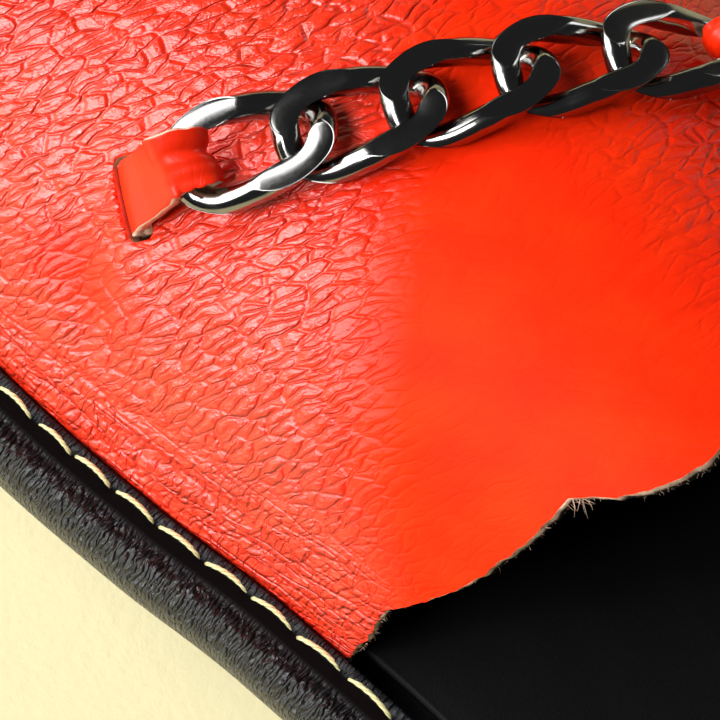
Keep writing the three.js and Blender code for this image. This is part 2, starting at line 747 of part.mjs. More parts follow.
function midsoleGeometry() {
  const waist = MIDSOLE_OVERHANG;
  return plate(
    waist,
    waist,
    (x) => groundLevel(x) + OUTSOLE_THICKNESS + GAP,
    (x) => edgeLevel(x) - FOOTBED_THICKNESS - GAP,
    4,
  );
}

// Shares of the length at which grooves cross the outsole between its lugs
const TREAD = [
  { from: 0.05, to: 0.26, grooves: 4 },
  { from: 0.53, to: 0.93, grooves: 8 },
];

function outsoleGeometry() {
  let solid = toManifold(plate(
    OUTSOLE_OVERHANG - 0.6,
    OUTSOLE_OVERHANG,
    groundLevel,
    (x) => groundLevel(x) + OUTSOLE_THICKNESS,
    4,
  ));
  for (const { from, to, grooves } of TREAD) {
    for (let i = 0; i < grooves; i += 1) {
      const x = THREE.MathUtils.lerp(from, to, i / (grooves - 1)) * FOOTBED_LENGTH;
      const bar = new THREE.BoxGeometry(GROOVE_WIDTH, 3 * BALL_WIDTH, 2 * GROOVE_DEPTH);
      bar.translate(x, 0, groundLevel(x));
      solid = solid.subtract(toManifold(bar));
    }
  }
  return fromManifold(solid);
}

const slipper = new THREE.Group();
const inner = new THREE.Group();
slipper.add(inner);

function addPiece(name, geometry, finish) {
  const piece = new THREE.Mesh(geometry, finish);
  piece.name = name;
  inner.add(piece);
  return piece;
}

addPiece('outsole', outsoleGeometry(), blackRubber);
addPiece('midsole', midsoleGeometry(), blackFoam);
addPiece('rand', randGeometry(), blackLeather);
addPiece('insole', insoleGeometry(), blackSuede);

const vamp = toManifold(upperGeometry())
  .subtract(toManifold(slitCutter(0)))
  .subtract(toManifold(slitCutter(CHAIN_SPAN)));
addPiece('upper', fromManifold(vamp), redLeather);

addPiece('tab_medial', tabGeometry(0, 1, endBar(0, 1)), redLeather);
addPiece('tab_lateral', tabGeometry(CHAIN_SPAN, -1, endBar(LINK_COUNT - 1, -1)), redLeather);

const link = linkGeometry();
for (let i = 0; i < LINK_COUNT; i += 1) {
  const piece = addPiece(`chain_link_${String(i + 1).padStart(2, '0')}`, link, gunmetal);
  const { position, x, y, z } = linkFrame(i);
  piece.position.copy(position);
  piece.quaternion.setFromRotationMatrix(new THREE.Matrix4().makeBasis(x, y, z));
}

// The origin is under the middle of the slipper's box, on the floor
const box = new THREE.Box3().setFromObject(inner);
const middle = box.getCenter(new THREE.Vector3());
inner.position.set(-middle.x, -middle.y, -box.min.z);
slipper.updateMatrixWorld(true);

export default slipper;
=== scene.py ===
"""Looks of a house slipper: red grained vamp with a scalloped raw edge, stitched black rand, suede
footbed, wedge sole and a curb chain held by two leather tabs.

Shapes are worked out in the shoe's own millimetres: x runs from the back of the heel to the toe, y
to the medial side and z up from the floor. build_piece() turns them into metres in the model's frame.
"""

import math

import bpy
import numpy as np
from mathutils import Matrix, Vector


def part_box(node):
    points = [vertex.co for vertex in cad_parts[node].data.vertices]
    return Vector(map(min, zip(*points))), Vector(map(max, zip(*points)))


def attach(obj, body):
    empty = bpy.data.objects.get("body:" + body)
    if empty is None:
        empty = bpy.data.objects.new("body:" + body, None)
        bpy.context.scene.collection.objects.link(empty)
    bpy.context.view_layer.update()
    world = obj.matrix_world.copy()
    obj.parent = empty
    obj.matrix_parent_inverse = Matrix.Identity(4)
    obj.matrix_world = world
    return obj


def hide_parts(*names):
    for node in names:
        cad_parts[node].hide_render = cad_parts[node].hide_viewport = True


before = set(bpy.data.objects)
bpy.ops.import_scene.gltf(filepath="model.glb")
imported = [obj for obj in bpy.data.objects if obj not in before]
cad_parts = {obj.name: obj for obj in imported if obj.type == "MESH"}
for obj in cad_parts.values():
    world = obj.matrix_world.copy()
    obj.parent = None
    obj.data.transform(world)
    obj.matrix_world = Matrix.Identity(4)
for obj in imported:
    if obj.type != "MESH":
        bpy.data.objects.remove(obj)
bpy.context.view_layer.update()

bl_info = {
    "name": "House slipper",
    "version": (1, 0, 0),
    "blender": (4, 5, 0),
    "location": "View3D > Sidebar > Slipper",
    "description": "Builds the leather, thread and metal of a house slipper with a chain",
    "category": "Add Mesh",
}

# Sizes are in millimetres, and places on the footbed are shares of its length and width

# Footbed
FOOTBED_LENGTH = 248.0
HEEL_WIDTH = 57.0
BALL_WIDTH = 88.0
HEEL_LEVEL = 33.0
BALL_LEVEL = 19.0
TOE_LIFT = 6.5
FOOTBED_THICKNESS = 5.0
HEEL_CUP_DEPTH = 2.4
FOREPART_DIP = 1.2
ARCH_RISE = 2.0

# Sole
OUTSOLE_THICKNESS = 4.0
OUTSOLE_OVERHANG = 5.6
MIDSOLE_OVERHANG = 4.7
TOE_SPRING = 7.0
ARCH_HOLLOW = 2.0
GROOVE_WIDTH = 3.0
GROOVE_DEPTH = 1.5

# Rand
FLANGE_WIDTH = 1.3
FLANGE_HEIGHT = 0.7
CHANNEL_DEPTH = 0.9
ROLL_START = 3.8
RAND_WIDTH = 8.6
RAND_EDGE = 8.0
RAND_DROP = 12.0

# Upper
UPPER_WALL = 1.6
TUCK_DEPTH = 2.6
THROAT_HEIGHT = 43.0
TOE_HEIGHT = 21.0
SCALLOP_DEPTH = 2.8

# Chain and tabs. LINK_HAND is the way in which a link is twisted, and LINK_SQUARENESS the power that
# makes its oval squarer
LINK_COUNT = 5
LINK_LENGTH = 17.6
LINK_WIDTH = 11.6
LINK_BAND = 3.0
LINK_TWIST = 1.8
LINK_HAND = -1
LINK_HEIGHT = 3.2
LINK_SQUARENESS = 0.8
LINK_SLACK = 1.1
TAB_THICKNESS = 1.1
TAB_MARGIN = 5.5
TAB_REACH = 6.8
TAB_LIFT = 1.15
SLIT_LENGTH = 8.6

GAP = 0.3

# Shares of the length between which the levels change, as (from, to)
FALL = (0.04, 0.77)
LIFT = (0.745, 1.0)
HOLLOW = (0.3, 0.53)
SPRING = (0.79, 1.0)

# Plan of the footbed's edge from heel to toe: along, ball, medial, lateral, as shares
PLAN = np.array([
    (0.024, 0.0, 0.316, -0.316),
    (0.113, 0.0, 0.5, -0.5),
    (0.25, 0.12, 0.469, -0.503),
    (0.387, 0.45, 0.385, -0.505),
    (0.5, 0.78, 0.39, -0.508),
    (0.573, 0.95, 0.42, -0.51),
    (0.653, 1.0, 0.458, -0.51),
    (0.766, 1.0, 0.494, -0.484),
    (0.879, 1.0, 0.426, -0.39),
    (0.964, 1.0, 0.273, -0.19),
])
TOE_TIP = (0.998, 0.05)

# The vamp's corners at the throat along the footbed, both ends of its ridge in plan, how much the
# rows crowd towards the toe, how the ridge falls, and the power of each side's shoulder at both ends
THROAT_MEDIAL = 0.476
THROAT_LATERAL = 0.423
THROAT_RIDGE = (0.431, -0.02)
TOE_END = (0.863, 0.03)
RIDGE_CROWDING = 1.7
RIDGE_FALL = (1.04, 0.26, -0.3)
RIDGE_HELD = 0.96
RIDGE_STEP = 0.01
SHOULDER = (1.3, 1.05)
NORMAL_STEP = 0.004

# Scallops of the throat from the medial corner to the lateral one: where each ends, its depth as a
# share of SCALLOP_DEPTH, and its share of the columns
SCALLOPS = (
    (-0.69, 0.3, 5), (-0.25, 1.0, 8), (0.04, 1.0, 6), (0.33, 1.0, 6), (0.67, 1.0, 7), (1.0, 0.3, 6))

# The chain's line over the vamp: where it starts across, where it crosses the ridge, and its slant
CHAIN_MEDIAL = -0.379
CHAIN_AT_RIDGE = 0.2765
CHAIN_DRIFT = -0.14

# How fine the surfaces are
EDGE_SAMPLES = 6000
SIDE_SAMPLES = 2401
FOOT_SAMPLES = 1201
PLAN_FACETS = 96
COLUMNS_PER_FACET = 7
ROWS_ALONG = 270
INNER_STRIDE = 6
CUT_EDGE_ROWS = 5

# Camera: the photograph's angle, and where the throat's medial corner lies in its 720 pixel frame
AZIMUTH = 234.0
ELEVATION = 74.0
DISTANCE = 500.0
PIXELS_PER_MM = 10.2
FRAME_PIXELS = 720
CORNER_PIXEL = (347, 657)


def smooth_rise(share):
    """0 to 1 with level ends: three t squared minus two t cubed, t held between 0 and 1."""
    t = np.clip(share, 0, 1)
    return t * t * (3 - 2 * t)


def risen(value, rise):
    """Smooth rise from the first number of a pair on, over the width that the second gives."""
    start, width = rise
    return smooth_rise((value - start) / width)


def bell(value, hump, power=2):
    """A bell round the first number of a pair: e to the minus square of distance over width."""
    middle, width = hump
    return np.exp(-((value - middle) / width) ** power)


def share_of(value, stretch):
    """How far a value has gone from the start of a stretch to its end, never under 0."""
    start, end = stretch
    return np.maximum(0, (value - start) / (end - start))


def edge_level(x):
    """Height of the footbed's edge: the heel's level falling to the ball's, lifted at the toe."""
    share = np.asarray(x) / FOOTBED_LENGTH
    high = 1 - smooth_rise(share_of(share, FALL))
    return BALL_LEVEL + (HEEL_LEVEL - BALL_LEVEL) * high + TOE_LIFT * share_of(share, LIFT) ** 2


def ground_level(x):
    """Height of the sole's underside: flat, with a hollow arch and a sprung toe."""
    share = np.asarray(x) / FOOTBED_LENGTH
    arch = np.sin(np.pi * np.minimum(share_of(share, HOLLOW), 1)) ** 2
    return TOE_SPRING * share_of(share, SPRING) ** 2 + ARCH_HOLLOW * arch


def catmull_rom(points, at):
    """A closed uniform Catmull-Rom curve through points: the usual cubic of four neighbours."""
    count = len(points)
    first = np.floor(at).astype(int)
    t = (at - first)[:, None]
    p0, p1, p2, p3 = (points[(first + shift) % count] for shift in (-1, 0, 1, 2))
    return 0.5 * (2 * p1 + (p2 - p0) * t + (2 * p0 - 5 * p1 + 4 * p2 - p3) * t**2
                  + (3 * p1 - p0 - 3 * p2 + p3) * t**3)


def lengths_along(points):
    """Distance run along a line of points, from 0 at the first one."""
    steps = np.linalg.norm(np.diff(points, axis=0), axis=1)
    return np.concatenate([[0], np.cumsum(steps)])


def footbed_edge():
    """The footbed's edge from the heel's back along the medial side, at equal arc lengths."""
    width = HEEL_WIDTH + (BALL_WIDTH - HEEL_WIDTH) * PLAN[:, 1]
    medial = np.column_stack([PLAN[:, 0] * FOOTBED_LENGTH, PLAN[:, 2] * width])
    lateral = np.column_stack([PLAN[:, 0] * FOOTBED_LENGTH, PLAN[:, 3] * width])[::-1]
    tip = [(TOE_TIP[0] * FOOTBED_LENGTH, TOE_TIP[1] * BALL_WIDTH)]
    points = np.vstack([[(0, 0)], medial, tip, lateral])
    dense = catmull_rom(points, np.linspace(0, len(points), EDGE_SAMPLES * 2 + 1))
    run = lengths_along(dense)
    even = np.linspace(0, run[-1], EDGE_SAMPLES + 1)
    return np.column_stack([np.interp(even, run, dense[:, k]) for k in (0, 1)])


EDGE = footbed_edge()
EDGE_SHARES = np.linspace(0, 1, len(EDGE))
EDGE_LENGTH = lengths_along(EDGE)[-1]
EDGE_TANGENTS = np.roll(EDGE[:-1], -1, axis=0) - np.roll(EDGE[:-1], 1, axis=0)
EDGE_TANGENTS = np.vstack([EDGE_TANGENTS, EDGE_TANGENTS[:1]])
EDGE_TANGENTS /= np.linalg.norm(EDGE_TANGENTS, axis=1)[:, None]
MEDIAL_SHARE = EDGE_SHARES[np.argmax(EDGE[:, 0])]


def edge_at(share, outward=0.0):
    """Points of the footbed's edge at shares of its length, moved outward, as x and y."""
    share = np.mod(share, 1)
    x, y = (np.interp(share, EDGE_SHARES, EDGE[:, k]) for k in (0, 1))
    tx, ty = (np.interp(share, EDGE_SHARES, EDGE_TANGENTS[:, k]) for k in (0, 1))
    return x - ty * outward, y + tx * outward


def sides_of(outward):
    """The medial and the lateral side of the edge moved outward, as lines sorted by x."""
    shares = np.linspace(0, 1, SIDE_SAMPLES)
    distance = outward(edge_at(shares)[0], shares < MEDIAL_SHARE) if callable(outward) else outward
    x, y = edge_at(shares, distance)
    front = int(np.argmax(x))
    return x[:front + 1], y[:front + 1], x[front:][::-1], y[front:][::-1]


class FootLine:
    """One side's foot line of the vamp, from the throat's corner at 0 to the toe's tip at 1."""

    def __init__(self, corner, medial):
        steps = np.linspace(0, 1, FOOT_SAMPLES)
        shares = MEDIAL_SHARE * steps if medial else 1 - (1 - MEDIAL_SHARE) * steps
        points = np.column_stack(edge_at(np.minimum(shares, 1 - 1e-9)))
        self.points = points[points[:, 0] >= corner]
        run = lengths_along(self.points)
        self.shares = run / run[-1]
        self.start = (self.points[4] - self.points[0]) / self.shares[4]

    def at(self, along):
        """Points of the foot line, carried straight on before its start."""
        held = np.clip(along, 0, 1)
        before = np.minimum(along, 0)
        x, y = (np.interp(held, self.shares, self.points[:, k]) + before * self.start[k] for k in (0, 1))
        return np.stack([x, y, edge_level(x)], -1)


MEDIAL_FOOT = FootLine(THROAT_MEDIAL * FOOTBED_LENGTH, True)
LATERAL_FOOT = FootLine(THROAT_LATERAL * FOOTBED_LENGTH, False)


def ridge_at(along):
    """The vamp's ridge: a straight line in plan, its height falling by a cubic to the toe's."""
    along = np.asarray(along, float)
    ahead = 1 - (1 - np.clip(along, 0, 1)) ** RIDGE_CROWDING
    eased = np.where(along < 0, RIDGE_CROWDING * along, ahead)
    x = (THROAT_RIDGE[0] + (TOE_END[0] - THROAT_RIDGE[0]) * eased) * FOOTBED_LENGTH
    y = (THROAT_RIDGE[1] + (TOE_END[1] - THROAT_RIDGE[1]) * eased) * BALL_WIDTH
    first, second, third = RIDGE_FALL
    cubic = first * eased + second * eased**2 + third * eased**3
    fallen = np.where(eased < 0, first * eased, cubic)
    return np.stack([x, y, edge_level(x) + THROAT_HEIGHT + (TOE_HEIGHT - THROAT_HEIGHT) * fallen], -1)


def vamp_at(along, across):
    """A point of the vamp's outer skin. Each side is a bent quarter of an oval from its foot line to
    the ridge: inward as one minus a cosine, upward as a power of the sine, level at the ridge."""
    along, across = np.broadcast_arrays(np.asarray(along, float), np.asarray(across, float))
    foot = np.where((across < 0)[..., None], MEDIAL_FOOT.at(along), LATERAL_FOOT.at(along))
    centre = np.minimum(along, RIDGE_HELD)
    run = ridge_at(centre + RIDGE_STEP) - ridge_at(centre - RIDGE_STEP)
    plan = np.hypot(run[..., 0], run[..., 1])
    span = ridge_at(along) - foot
    tilt = (span[..., 0] * run[..., 0] + span[..., 1] * run[..., 1]) / plan * run[..., 2] / plan
    angle = (1 - np.abs(across)) * np.pi / 2
    shoulder = SHOULDER[0] + (SHOULDER[1] - SHOULDER[0]) * np.clip(along, 0, 1)
    inward = 1 - np.cos(angle)
    upward = np.sin(angle) ** shoulder
    return np.stack([
        foot[..., 0] + span[..., 0] * inward,
        foot[..., 1] + span[..., 1] * inward,
        foot[..., 2] + (span[..., 2] - tilt) * upward + tilt * inward,
    ], -1)


def unit(vectors):
    """Vectors brought to length one."""
    return vectors / np.maximum(np.linalg.norm(vectors, axis=-1, keepdims=True), 1e-9)


def vamp_normal(along, across):
    """Outward direction of the vamp: the cross product of its two directions."""
    step = NORMAL_STEP
    u = vamp_at(np.minimum(along + step, 0.999), across) - vamp_at(along - step, across)
    v = vamp_at(along, np.minimum(across + step, 1)) - vamp_at(along, np.maximum(across - step, -1))
    return -unit(np.cross(u, v))


def model_shift():
    """What is added to the shoe's millimetres: the model's origin lies on the floor under the middle
    of the slipper's box, and the CAD rand's own box says how far that is."""
    x, y = edge_at(np.arange(PLAN_FACETS) / PLAN_FACETS, RAND_WIDTH)
    low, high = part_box("rand")
    return np.array([low.x * 1000 - x.min(), (low.y + high.y) * 500 - (y.min() + y.max()) / 2, 0])


SHIFT = model_shift()


def build_piece(name, points, faces, finishes, finish_of=None, uv=None, masks=None, smooth=True):
    """Makes an object from points in the shoe's millimetres and arrays of faces. finish_of gives the
    finish of each array of faces, uv a pair for each corner of the faces, and masks a number for
    each point."""
    mesh = bpy.data.meshes.new(name)
    mesh.vertices.add(len(points))
    mesh.vertices.foreach_set("co", ((points + SHIFT) / 1000).astype(np.float32).ravel())
    corners = np.concatenate([f.ravel() for f in faces]).astype(np.int32)
    sizes = np.concatenate([np.full(len(f), f.shape[1]) for f in faces])
    mesh.loops.add(len(corners))
    mesh.loops.foreach_set("vertex_index", corners)
    mesh.polygons.add(len(sizes))
    starts = np.concatenate([[0], np.cumsum(sizes)[:-1]])
    mesh.polygons.foreach_set("loop_start", starts.astype(np.int32))
    if finish_of is not None:
        slots = np.concatenate([np.full(len(f), k) for f, k in zip(faces, finish_of)])
        mesh.polygons.foreach_set("material_index", slots.astype(np.int32))
    mesh.polygons.foreach_set("use_smooth", np.full(len(sizes), smooth))
    if uv is not None:
        layer = mesh.uv_layers.new(name="surface")
        layer.data.foreach_set("uv", uv.astype(np.float32).ravel())
    for mask, values in (masks or {}).items():
        attribute = mesh.attributes.new(mask, "FLOAT", "POINT")
        attribute.data.foreach_set("value", np.asarray(values, np.float32).ravel())
    mesh.update(calc_edges=True)
    mesh.validate()
    for finish in finishes:
        mesh.materials.append(finish)
    piece = bpy.data.objects.new(name, mesh)
    bpy.context.scene.collection.objects.link(piece)
    return piece


def grid_faces(rows, columns, start=0, flip=False):
    """Quads of a grid of points stored row by row."""
    r = np.arange(rows - 1)[:, None]
    c = np.arange(columns - 1)[None, :]
    a = start + r * columns + c
    b = start + (r + 1) * columns + c
    quads = np.stack([a, b, b + 1, a + 1], -1).reshape(-1, 4)
    return quads[:, ::-1] if flip else quads


def ring_faces(around, section):
    """Quads of a section carried round a closed path and closed itself, one row for each step."""
    a = np.arange(around)[:, None] * section
    b = (np.arange(around)[:, None] + 1) % around * section
    k = np.arange(section)[None, :]
    n = (k + 1) % section
    return np.stack([a + k, b + k, b + n, a + n], -1)


def grid_run(grid, axis):
    """Distance run over a grid of points along one axis, from 0 at its first row or column."""
    steps = np.linalg.norm(np.diff(grid, axis=axis), axis=2)
    start = np.zeros_like(np.take(steps, [0], axis=axis))
    return np.concatenate([start, np.cumsum(steps, axis=axis)], axis=axis)


class Socket:
    """One output in a material's nodes; arithmetic on it adds Math nodes."""

    def __init__(self, finish, output):
        self.finish = finish
        self.output = output

    def math(self, operation, first, second):
        """Adds a Math node for two values or sockets."""
        return self.finish.node("ShaderNodeMath", {"operation": operation}, {0: first, 1: second})

    def __add__(self, other):
        return self.math("ADD", self, other)

    __radd__ = __add__

    def __sub__(self, other):
        return self.math("SUBTRACT", self, other)

    def __rsub__(self, other):
        return self.math("SUBTRACT", other, self)

    def __mul__(self, other):
        return self.math("MULTIPLY", self, other)

    __rmul__ = __mul__


class Finish:
    """A material and the nodes that make it."""

    def __init__(self, name):
        self.material = bpy.data.materials.new(name)
        self.material.use_nodes = True
        self.tree = self.material.node_tree
        self.tree.nodes.clear()

    def node(self, kind, settings=None, sockets=None, output=0):
        """Adds a node: its settings first, then the values or links of its sockets."""
        node = self.tree.nodes.new(kind)
        for key, value in (settings or {}).items():
            setattr(node, key, value)
        for key, value in (sockets or {}).items():
            if isinstance(value, Socket):
                self.tree.links.new(value.output, node.inputs[key])
            else:
                node.inputs[key].default_value = value
        return Socket(self, node.outputs[output]) if node.outputs else None

    def shader(self, roughness, color, normal=None, **sockets):
        """A principled shader."""
        values = {"Roughness": roughness, "Base Color": color}
        if normal is not None:
            values["Normal"] = normal
        values.update({key.replace("_", " "): value for key, value in sockets.items()})
        return self.node("ShaderNodeBsdfPrincipled", None, values)

    def surface(self, roughness, color, normal=None, **sockets):
        """A principled shader that ends the tree."""
        return self.ended(self.shader(roughness, color, normal, **sockets))

    def ended(self, shader):
        """The finished material: the shader joined to the tree's end."""
        self.node("ShaderNodeOutputMaterial", None, {"Surface": shader})
        return self.material

    def blended(self, share, low, high):
        """Two shaders mixed by a share."""
        return self.node("ShaderNodeMixShader", None, {0: share, 1: low, 2: high})

    def mask(self, name):
        """A number stored at each point of the piece."""
        return self.node("ShaderNodeAttribute", {"attribute_name": name}, None, "Fac")

    def uv(self):
        """The piece's own map, in tenths of a metre over its surface."""
        return self.node("ShaderNodeUVMap", {"uv_map": "surface"})

    def object_place(self):
        """The place in the piece, in metres."""
        return self.node("ShaderNodeTexCoord", None, None, "Object")

    def mapped(self, vector, scale, turn=0.0):
        """A vector stretched and turned."""
        return self.node("ShaderNodeMapping", None, {
            "Vector": vector, "Scale": scale, "Rotation": (0, 0, turn)})

    def noise(self, vector, scale, detail=2.0, roughness=0.5):
        """Soft noise from 0 to 1."""
        return self.node("ShaderNodeTexNoise", None, {
            "Vector": vector, "Scale": scale, "Detail": detail, "Roughness": roughness}, "Fac")

    def vector_math(self, operation, sockets):
        """Adds a Vector Math node."""
        return self.node("ShaderNodeVectorMath", {"operation": operation}, sockets)

    def warped(self, vector, scale, amount):
        """A vector pushed about by a soft noise."""
        push = self.node("ShaderNodeTexNoise", None, {
            "Vector": vector, "Scale": scale, "Detail": 1.0}, "Color")
        centred = self.vector_math("SUBTRACT", {0: push, 1: (0.5, 0.5, 0.5)})
        scaled = self.vector_math("SCALE", {0: centred, "Scale": amount})
        return self.vector_math("ADD", {0: vector, 1: scaled})

    def cells(self, vector, scale):
        """Distance to the nearest border between flat cells."""
        return self.node("ShaderNodeTexVoronoi", {
            "feature": "DISTANCE_TO_EDGE", "voronoi_dimensions": "2D"}, {
            "Vector": vector, "Scale": scale, "Randomness": 1.0}, "Distance")

    def apart(self, value, middle):
        """How far a value lies from the middle, on either side."""
        return self.node("ShaderNodeMath", {"operation": "ABSOLUTE"}, {0: value - middle})

    def eased(self, value, low, high, to_low=0.0, to_high=1.0):
        """A value brought from one stretch to another with soft ends."""
        return self.node("ShaderNodeMapRange", {"interpolation_type": "SMOOTHSTEP"}, {
            "Value": value, "From Min": low, "From Max": high, "To Min": to_low, "To Max": to_high})

    def mixed(self, factor, first, second):
        """Two colours mixed by a factor; 6, 7 and 2 are the Mix node's colour sockets."""
        return self.node("ShaderNodeMix", {"data_type": "RGBA"}, {0: factor, 6: first, 7: second}, 2)

    def bump(self, height, distance):
        """A bent normal from a height of 0 to 1 and the distance in metres that it stands for."""
        return self.node("ShaderNodeBump", None, {"Height": height, "Distance": distance, "Strength": 1.0})


class SlipperSizes(bpy.types.PropertyGroup):
    """Sizes of the finish that a user would change."""

    grain_cell: bpy.props.FloatProperty(
        name="Grain cell", description="Width of one cell of the leather's grain",
        default=0.0015, min=0.0005, max=0.01, unit="LENGTH", precision=5)
    grain_depth: bpy.props.FloatProperty(
        name="Grain depth", description="Depth of the furrows between the cells",
        default=0.00042, min=0.0, max=0.002, unit="LENGTH", precision=6)
    crease_depth: bpy.props.FloatProperty(
        name="Crease depth", description="Depth of the deepest crease of the vamp",
        default=0.0007, min=0.0, max=0.003, unit="LENGTH", precision=6)
    thread_width: bpy.props.FloatProperty(
        name="Thread width", description="Thickness of the rand's sewing thread",
        default=0.0005, min=0.0002, max=0.003, unit="LENGTH", precision=6)
    tab_width: bpy.props.FloatProperty(
        name="Tab width", description="Width of the leather tabs that hold the chain",
        default=0.0070, min=0.002, max=0.01, unit="LENGTH", precision=5)
    rand_pebble: bpy.props.FloatProperty(
        name="Rand pebble", description="Width of one pebble of the rand's leather",
        default=0.0009, min=0.0002, max=0.01, unit="LENGTH", precision=5)


class SlipperColours(bpy.types.PropertyGroup):
    """Colours of the slipper's materials."""

    vamp: bpy.props.FloatVectorProperty(
        name="Vamp", description="Grain side of the red leather", subtype="COLOR",
        default=(0.95, 0.021, 0.0012), min=0, max=1)
    raw_edge: bpy.props.FloatVectorProperty(
        name="Raw edge", description="Cut edge and flesh side of the leather", subtype="COLOR",
        default=(0.80, 0.55, 0.40), min=0, max=1)
    lining: bpy.props.FloatVectorProperty(
        name="Lining", description="Black lining inside the vamp", subtype="COLOR",
        default=(0.006, 0.006, 0.007), min=0, max=1)
    thread: bpy.props.FloatVectorProperty(
        name="Thread", description="Sewing thread of the rand", subtype="COLOR",
        default=(0.76, 0.72, 0.36), min=0, max=1)
    rand: bpy.props.FloatVectorProperty(
        name="Rand", description="Black leather of the rand", subtype="COLOR",
        default=(0.008, 0.0086, 0.011), min=0, max=1)
    # Black suede, darkened further as painted shade of the inside of the shoe
    footbed: bpy.props.FloatVectorProperty(
        name="Footbed", description="Black suede of the footbed", subtype="COLOR",
        default=(0.0016, 0.0017, 0.002), min=0, max=1)
    sole: bpy.props.FloatVectorProperty(
        name="Sole", description="Black foam and rubber of the sole", subtype="COLOR",
        default=(0.016, 0.016, 0.017), min=0, max=1)
    metal: bpy.props.FloatVectorProperty(
        name="Chain", description="Gunmetal plating of the chain", subtype="COLOR",
        default=(0.30, 0.295, 0.285), min=0, max=1)
    floor: bpy.props.FloatVectorProperty(
        name="Floor", description="Pale floor under the slipper", subtype="COLOR",
        default=(0.84, 0.76, 0.45), min=0, max=1)


def sizes():
    """The sizes that the user sees in the sidebar."""
    return bpy.context.scene.slipper_sizes


def colour_of(name):
    """A colour from the sidebar, with its alpha."""
    return (*getattr(bpy.context.scene.slipper_colours, name), 1.0)


def tinted(base, red, green, blue):
    """A colour with its channels multiplied, none over 1."""
    return (min(base[0] * red, 1), min(base[1] * green, 1), min(base[2] * blue, 1), 1)


# Materials. A noise on object coordinates has its scale in cells for each metre
# Depth in metres of the finest relief of each finish
RELIEF = {"fibre": 0.00025, "rand": 0.0008, "nap": 0.0002, "sole": 0.00015, "thread": 0.00008,
          "hairline": 0.000003, "floor": 0.00008}

# How the vamp's grain is stretched over its map, and its turns: cells across the foot and beside the
# rand, small cells, long streaks, and folds along the rand
ACROSS_FOOT = (0.42, 1.1, 1)
BESIDE_RAND = (0.66, 1.25, 1)
SMALL_CELLS = (1.0, 1.4, 1)
STREAKS = (0.2, 0.9, 1)
FOLDS = (1.0, 0.2, 1)
GRAIN_TILT = math.radians(-12)
FOLD_TILT = math.radians(4)
SMALL_TILT = 0.5

# The same for the rand's pebbles and crimps
PEBBLES = (0.42, 1.7, 1)
CRIMPS = (0.3, 2.2, 1)
PEBBLE_TILT = 0.35
CRIMP_TILT = 0.3


def red_leather():
    """Pigmented grain leather: cells stretched across the foot, or shorter ones with folds beside the
    rand, whose furrows fade over the flat part of the throat. The gloss mask mixes a matte shader
    with a polished one, which both have the grain."""
    finish = Finish("red_leather")
    cell = sizes().grain_cell * 10
    uv = finish.uv()
    grain = finish.mask("grain")
    side = finish.mask("side")
    gloss = finish.mask("gloss")
    bent = finish.warped(uv, 0.3 / cell, cell)
    bent = finish.warped(bent, 1.3 / cell, cell * 0.2)
    stretched = finish.mapped(bent, ACROSS_FOOT, GRAIN_TILT)
    crosswise = finish.cells(stretched, 1 / cell)
    beside = finish.cells(finish.mapped(bent, BESIDE_RAND, GRAIN_TILT), 1 / cell)
    small = finish.cells(finish.mapped(bent, SMALL_CELLS, SMALL_TILT), 2.2 / cell)
    swell = finish.noise(stretched, 0.8 / cell, 1.0)
    streak = finish.noise(finish.mapped(bent, STREAKS, GRAIN_TILT), 0.7 / cell, 1.0)
    line = finish.eased(finish.apart(streak, 0.5), 0.0, 0.05)
    welt = finish.noise(finish.mapped(bent, FOLDS, FOLD_TILT), 0.75 / cell, 1.0)
    fold = finish.eased(finish.apart(welt, 0.5), 0.0, 0.09)
    depth = finish.eased(finish.noise(uv, 0.5 / cell, 2.0), 0.3, 0.65, 0.6, 1.0)
    furrow = finish.eased(crosswise, 0.0, 0.16) * (1 - side) + finish.eased(beside, 0.0, 0.2) * side
    plump = finish.eased(crosswise, 0.0, 0.5) * (1 - side) + finish.eased(beside, 0.0, 0.5) * side
    small_furrow = finish.eased(small, 0.0, 0.25)
    fine = finish.noise(uv, 5 / cell, 3.0, 0.6)
    height = (furrow * 0.5 + plump * 0.36 + line * 0.4 + swell * 0.14) * (1 - 0.3 * side)
    height = (height + fold * side * 0.8) * depth * grain
    height = height + small_furrow * (0.35 + 0.65 * depth) * grain * 0.06 + fine * 0.025
    normal = finish.bump(height, sizes().grain_depth)
    patch = finish.noise(uv, 0.16 / cell, 2.0)
    base = colour_of("vamp")
    color = finish.mixed(finish.eased(patch, 0.3, 0.75), base, tinted(base, 1.03, 1.5, 1.3))
    # Painted shade: the colour darkens in the grain's furrows and along its streak lines
    furrow_shade = (1 - furrow * line) * depth * grain * 0.3
    color = finish.mixed(furrow_shade, color, tinted(base, 0.62, 0.3, 0.8))
    rough = finish.eased(fine, 0.3, 0.7, 0.3, 0.4)
    matte = finish.shader(0.6, color, normal, Specular_IOR_Level=0.06)
    glossy = finish.shader(rough, color, normal, Specular_IOR_Level=1.0)
    return finish.ended(finish.blended(gloss, matte, glossy))


def fibrous(name, base, dark, depth_to=None):
    """A cut or flesh side of leather, matt and fibrous; a mask may deepen it to another colour."""
    finish = Finish(name)
    place = finish.object_place()
    fibre = finish.noise(place, 2600, 3.0, 0.7)
    patch = finish.noise(place, 420, 2.0)
    pale = (*(min(1.15 * channel + 0.04, 1) for channel in base[:3]), 1)
    color = finish.mixed(finish.eased(patch, 0.35, 0.7), base, pale)
    color = finish.mixed(finish.eased(fibre, 0.5, 0.8) * 0.85, color, dark)
    if depth_to is not None:
        deeper = finish.eased(finish.mask("depth") + (fibre - 0.5) * 0.25, 0.2, 0.5)
        color = finish.mixed(deeper, color, depth_to)
    return finish.surface(0.9, color, finish.bump(fibre, RELIEF["fibre"]), Specular_IOR_Level=0.2)


def raw_leather():
    """Flesh side and cut edges of the tabs and slits: pale tan."""
    base = colour_of("raw_edge")
    return fibrous("raw_leather", base, tinted(base, 0.7, 0.4, 0.3))


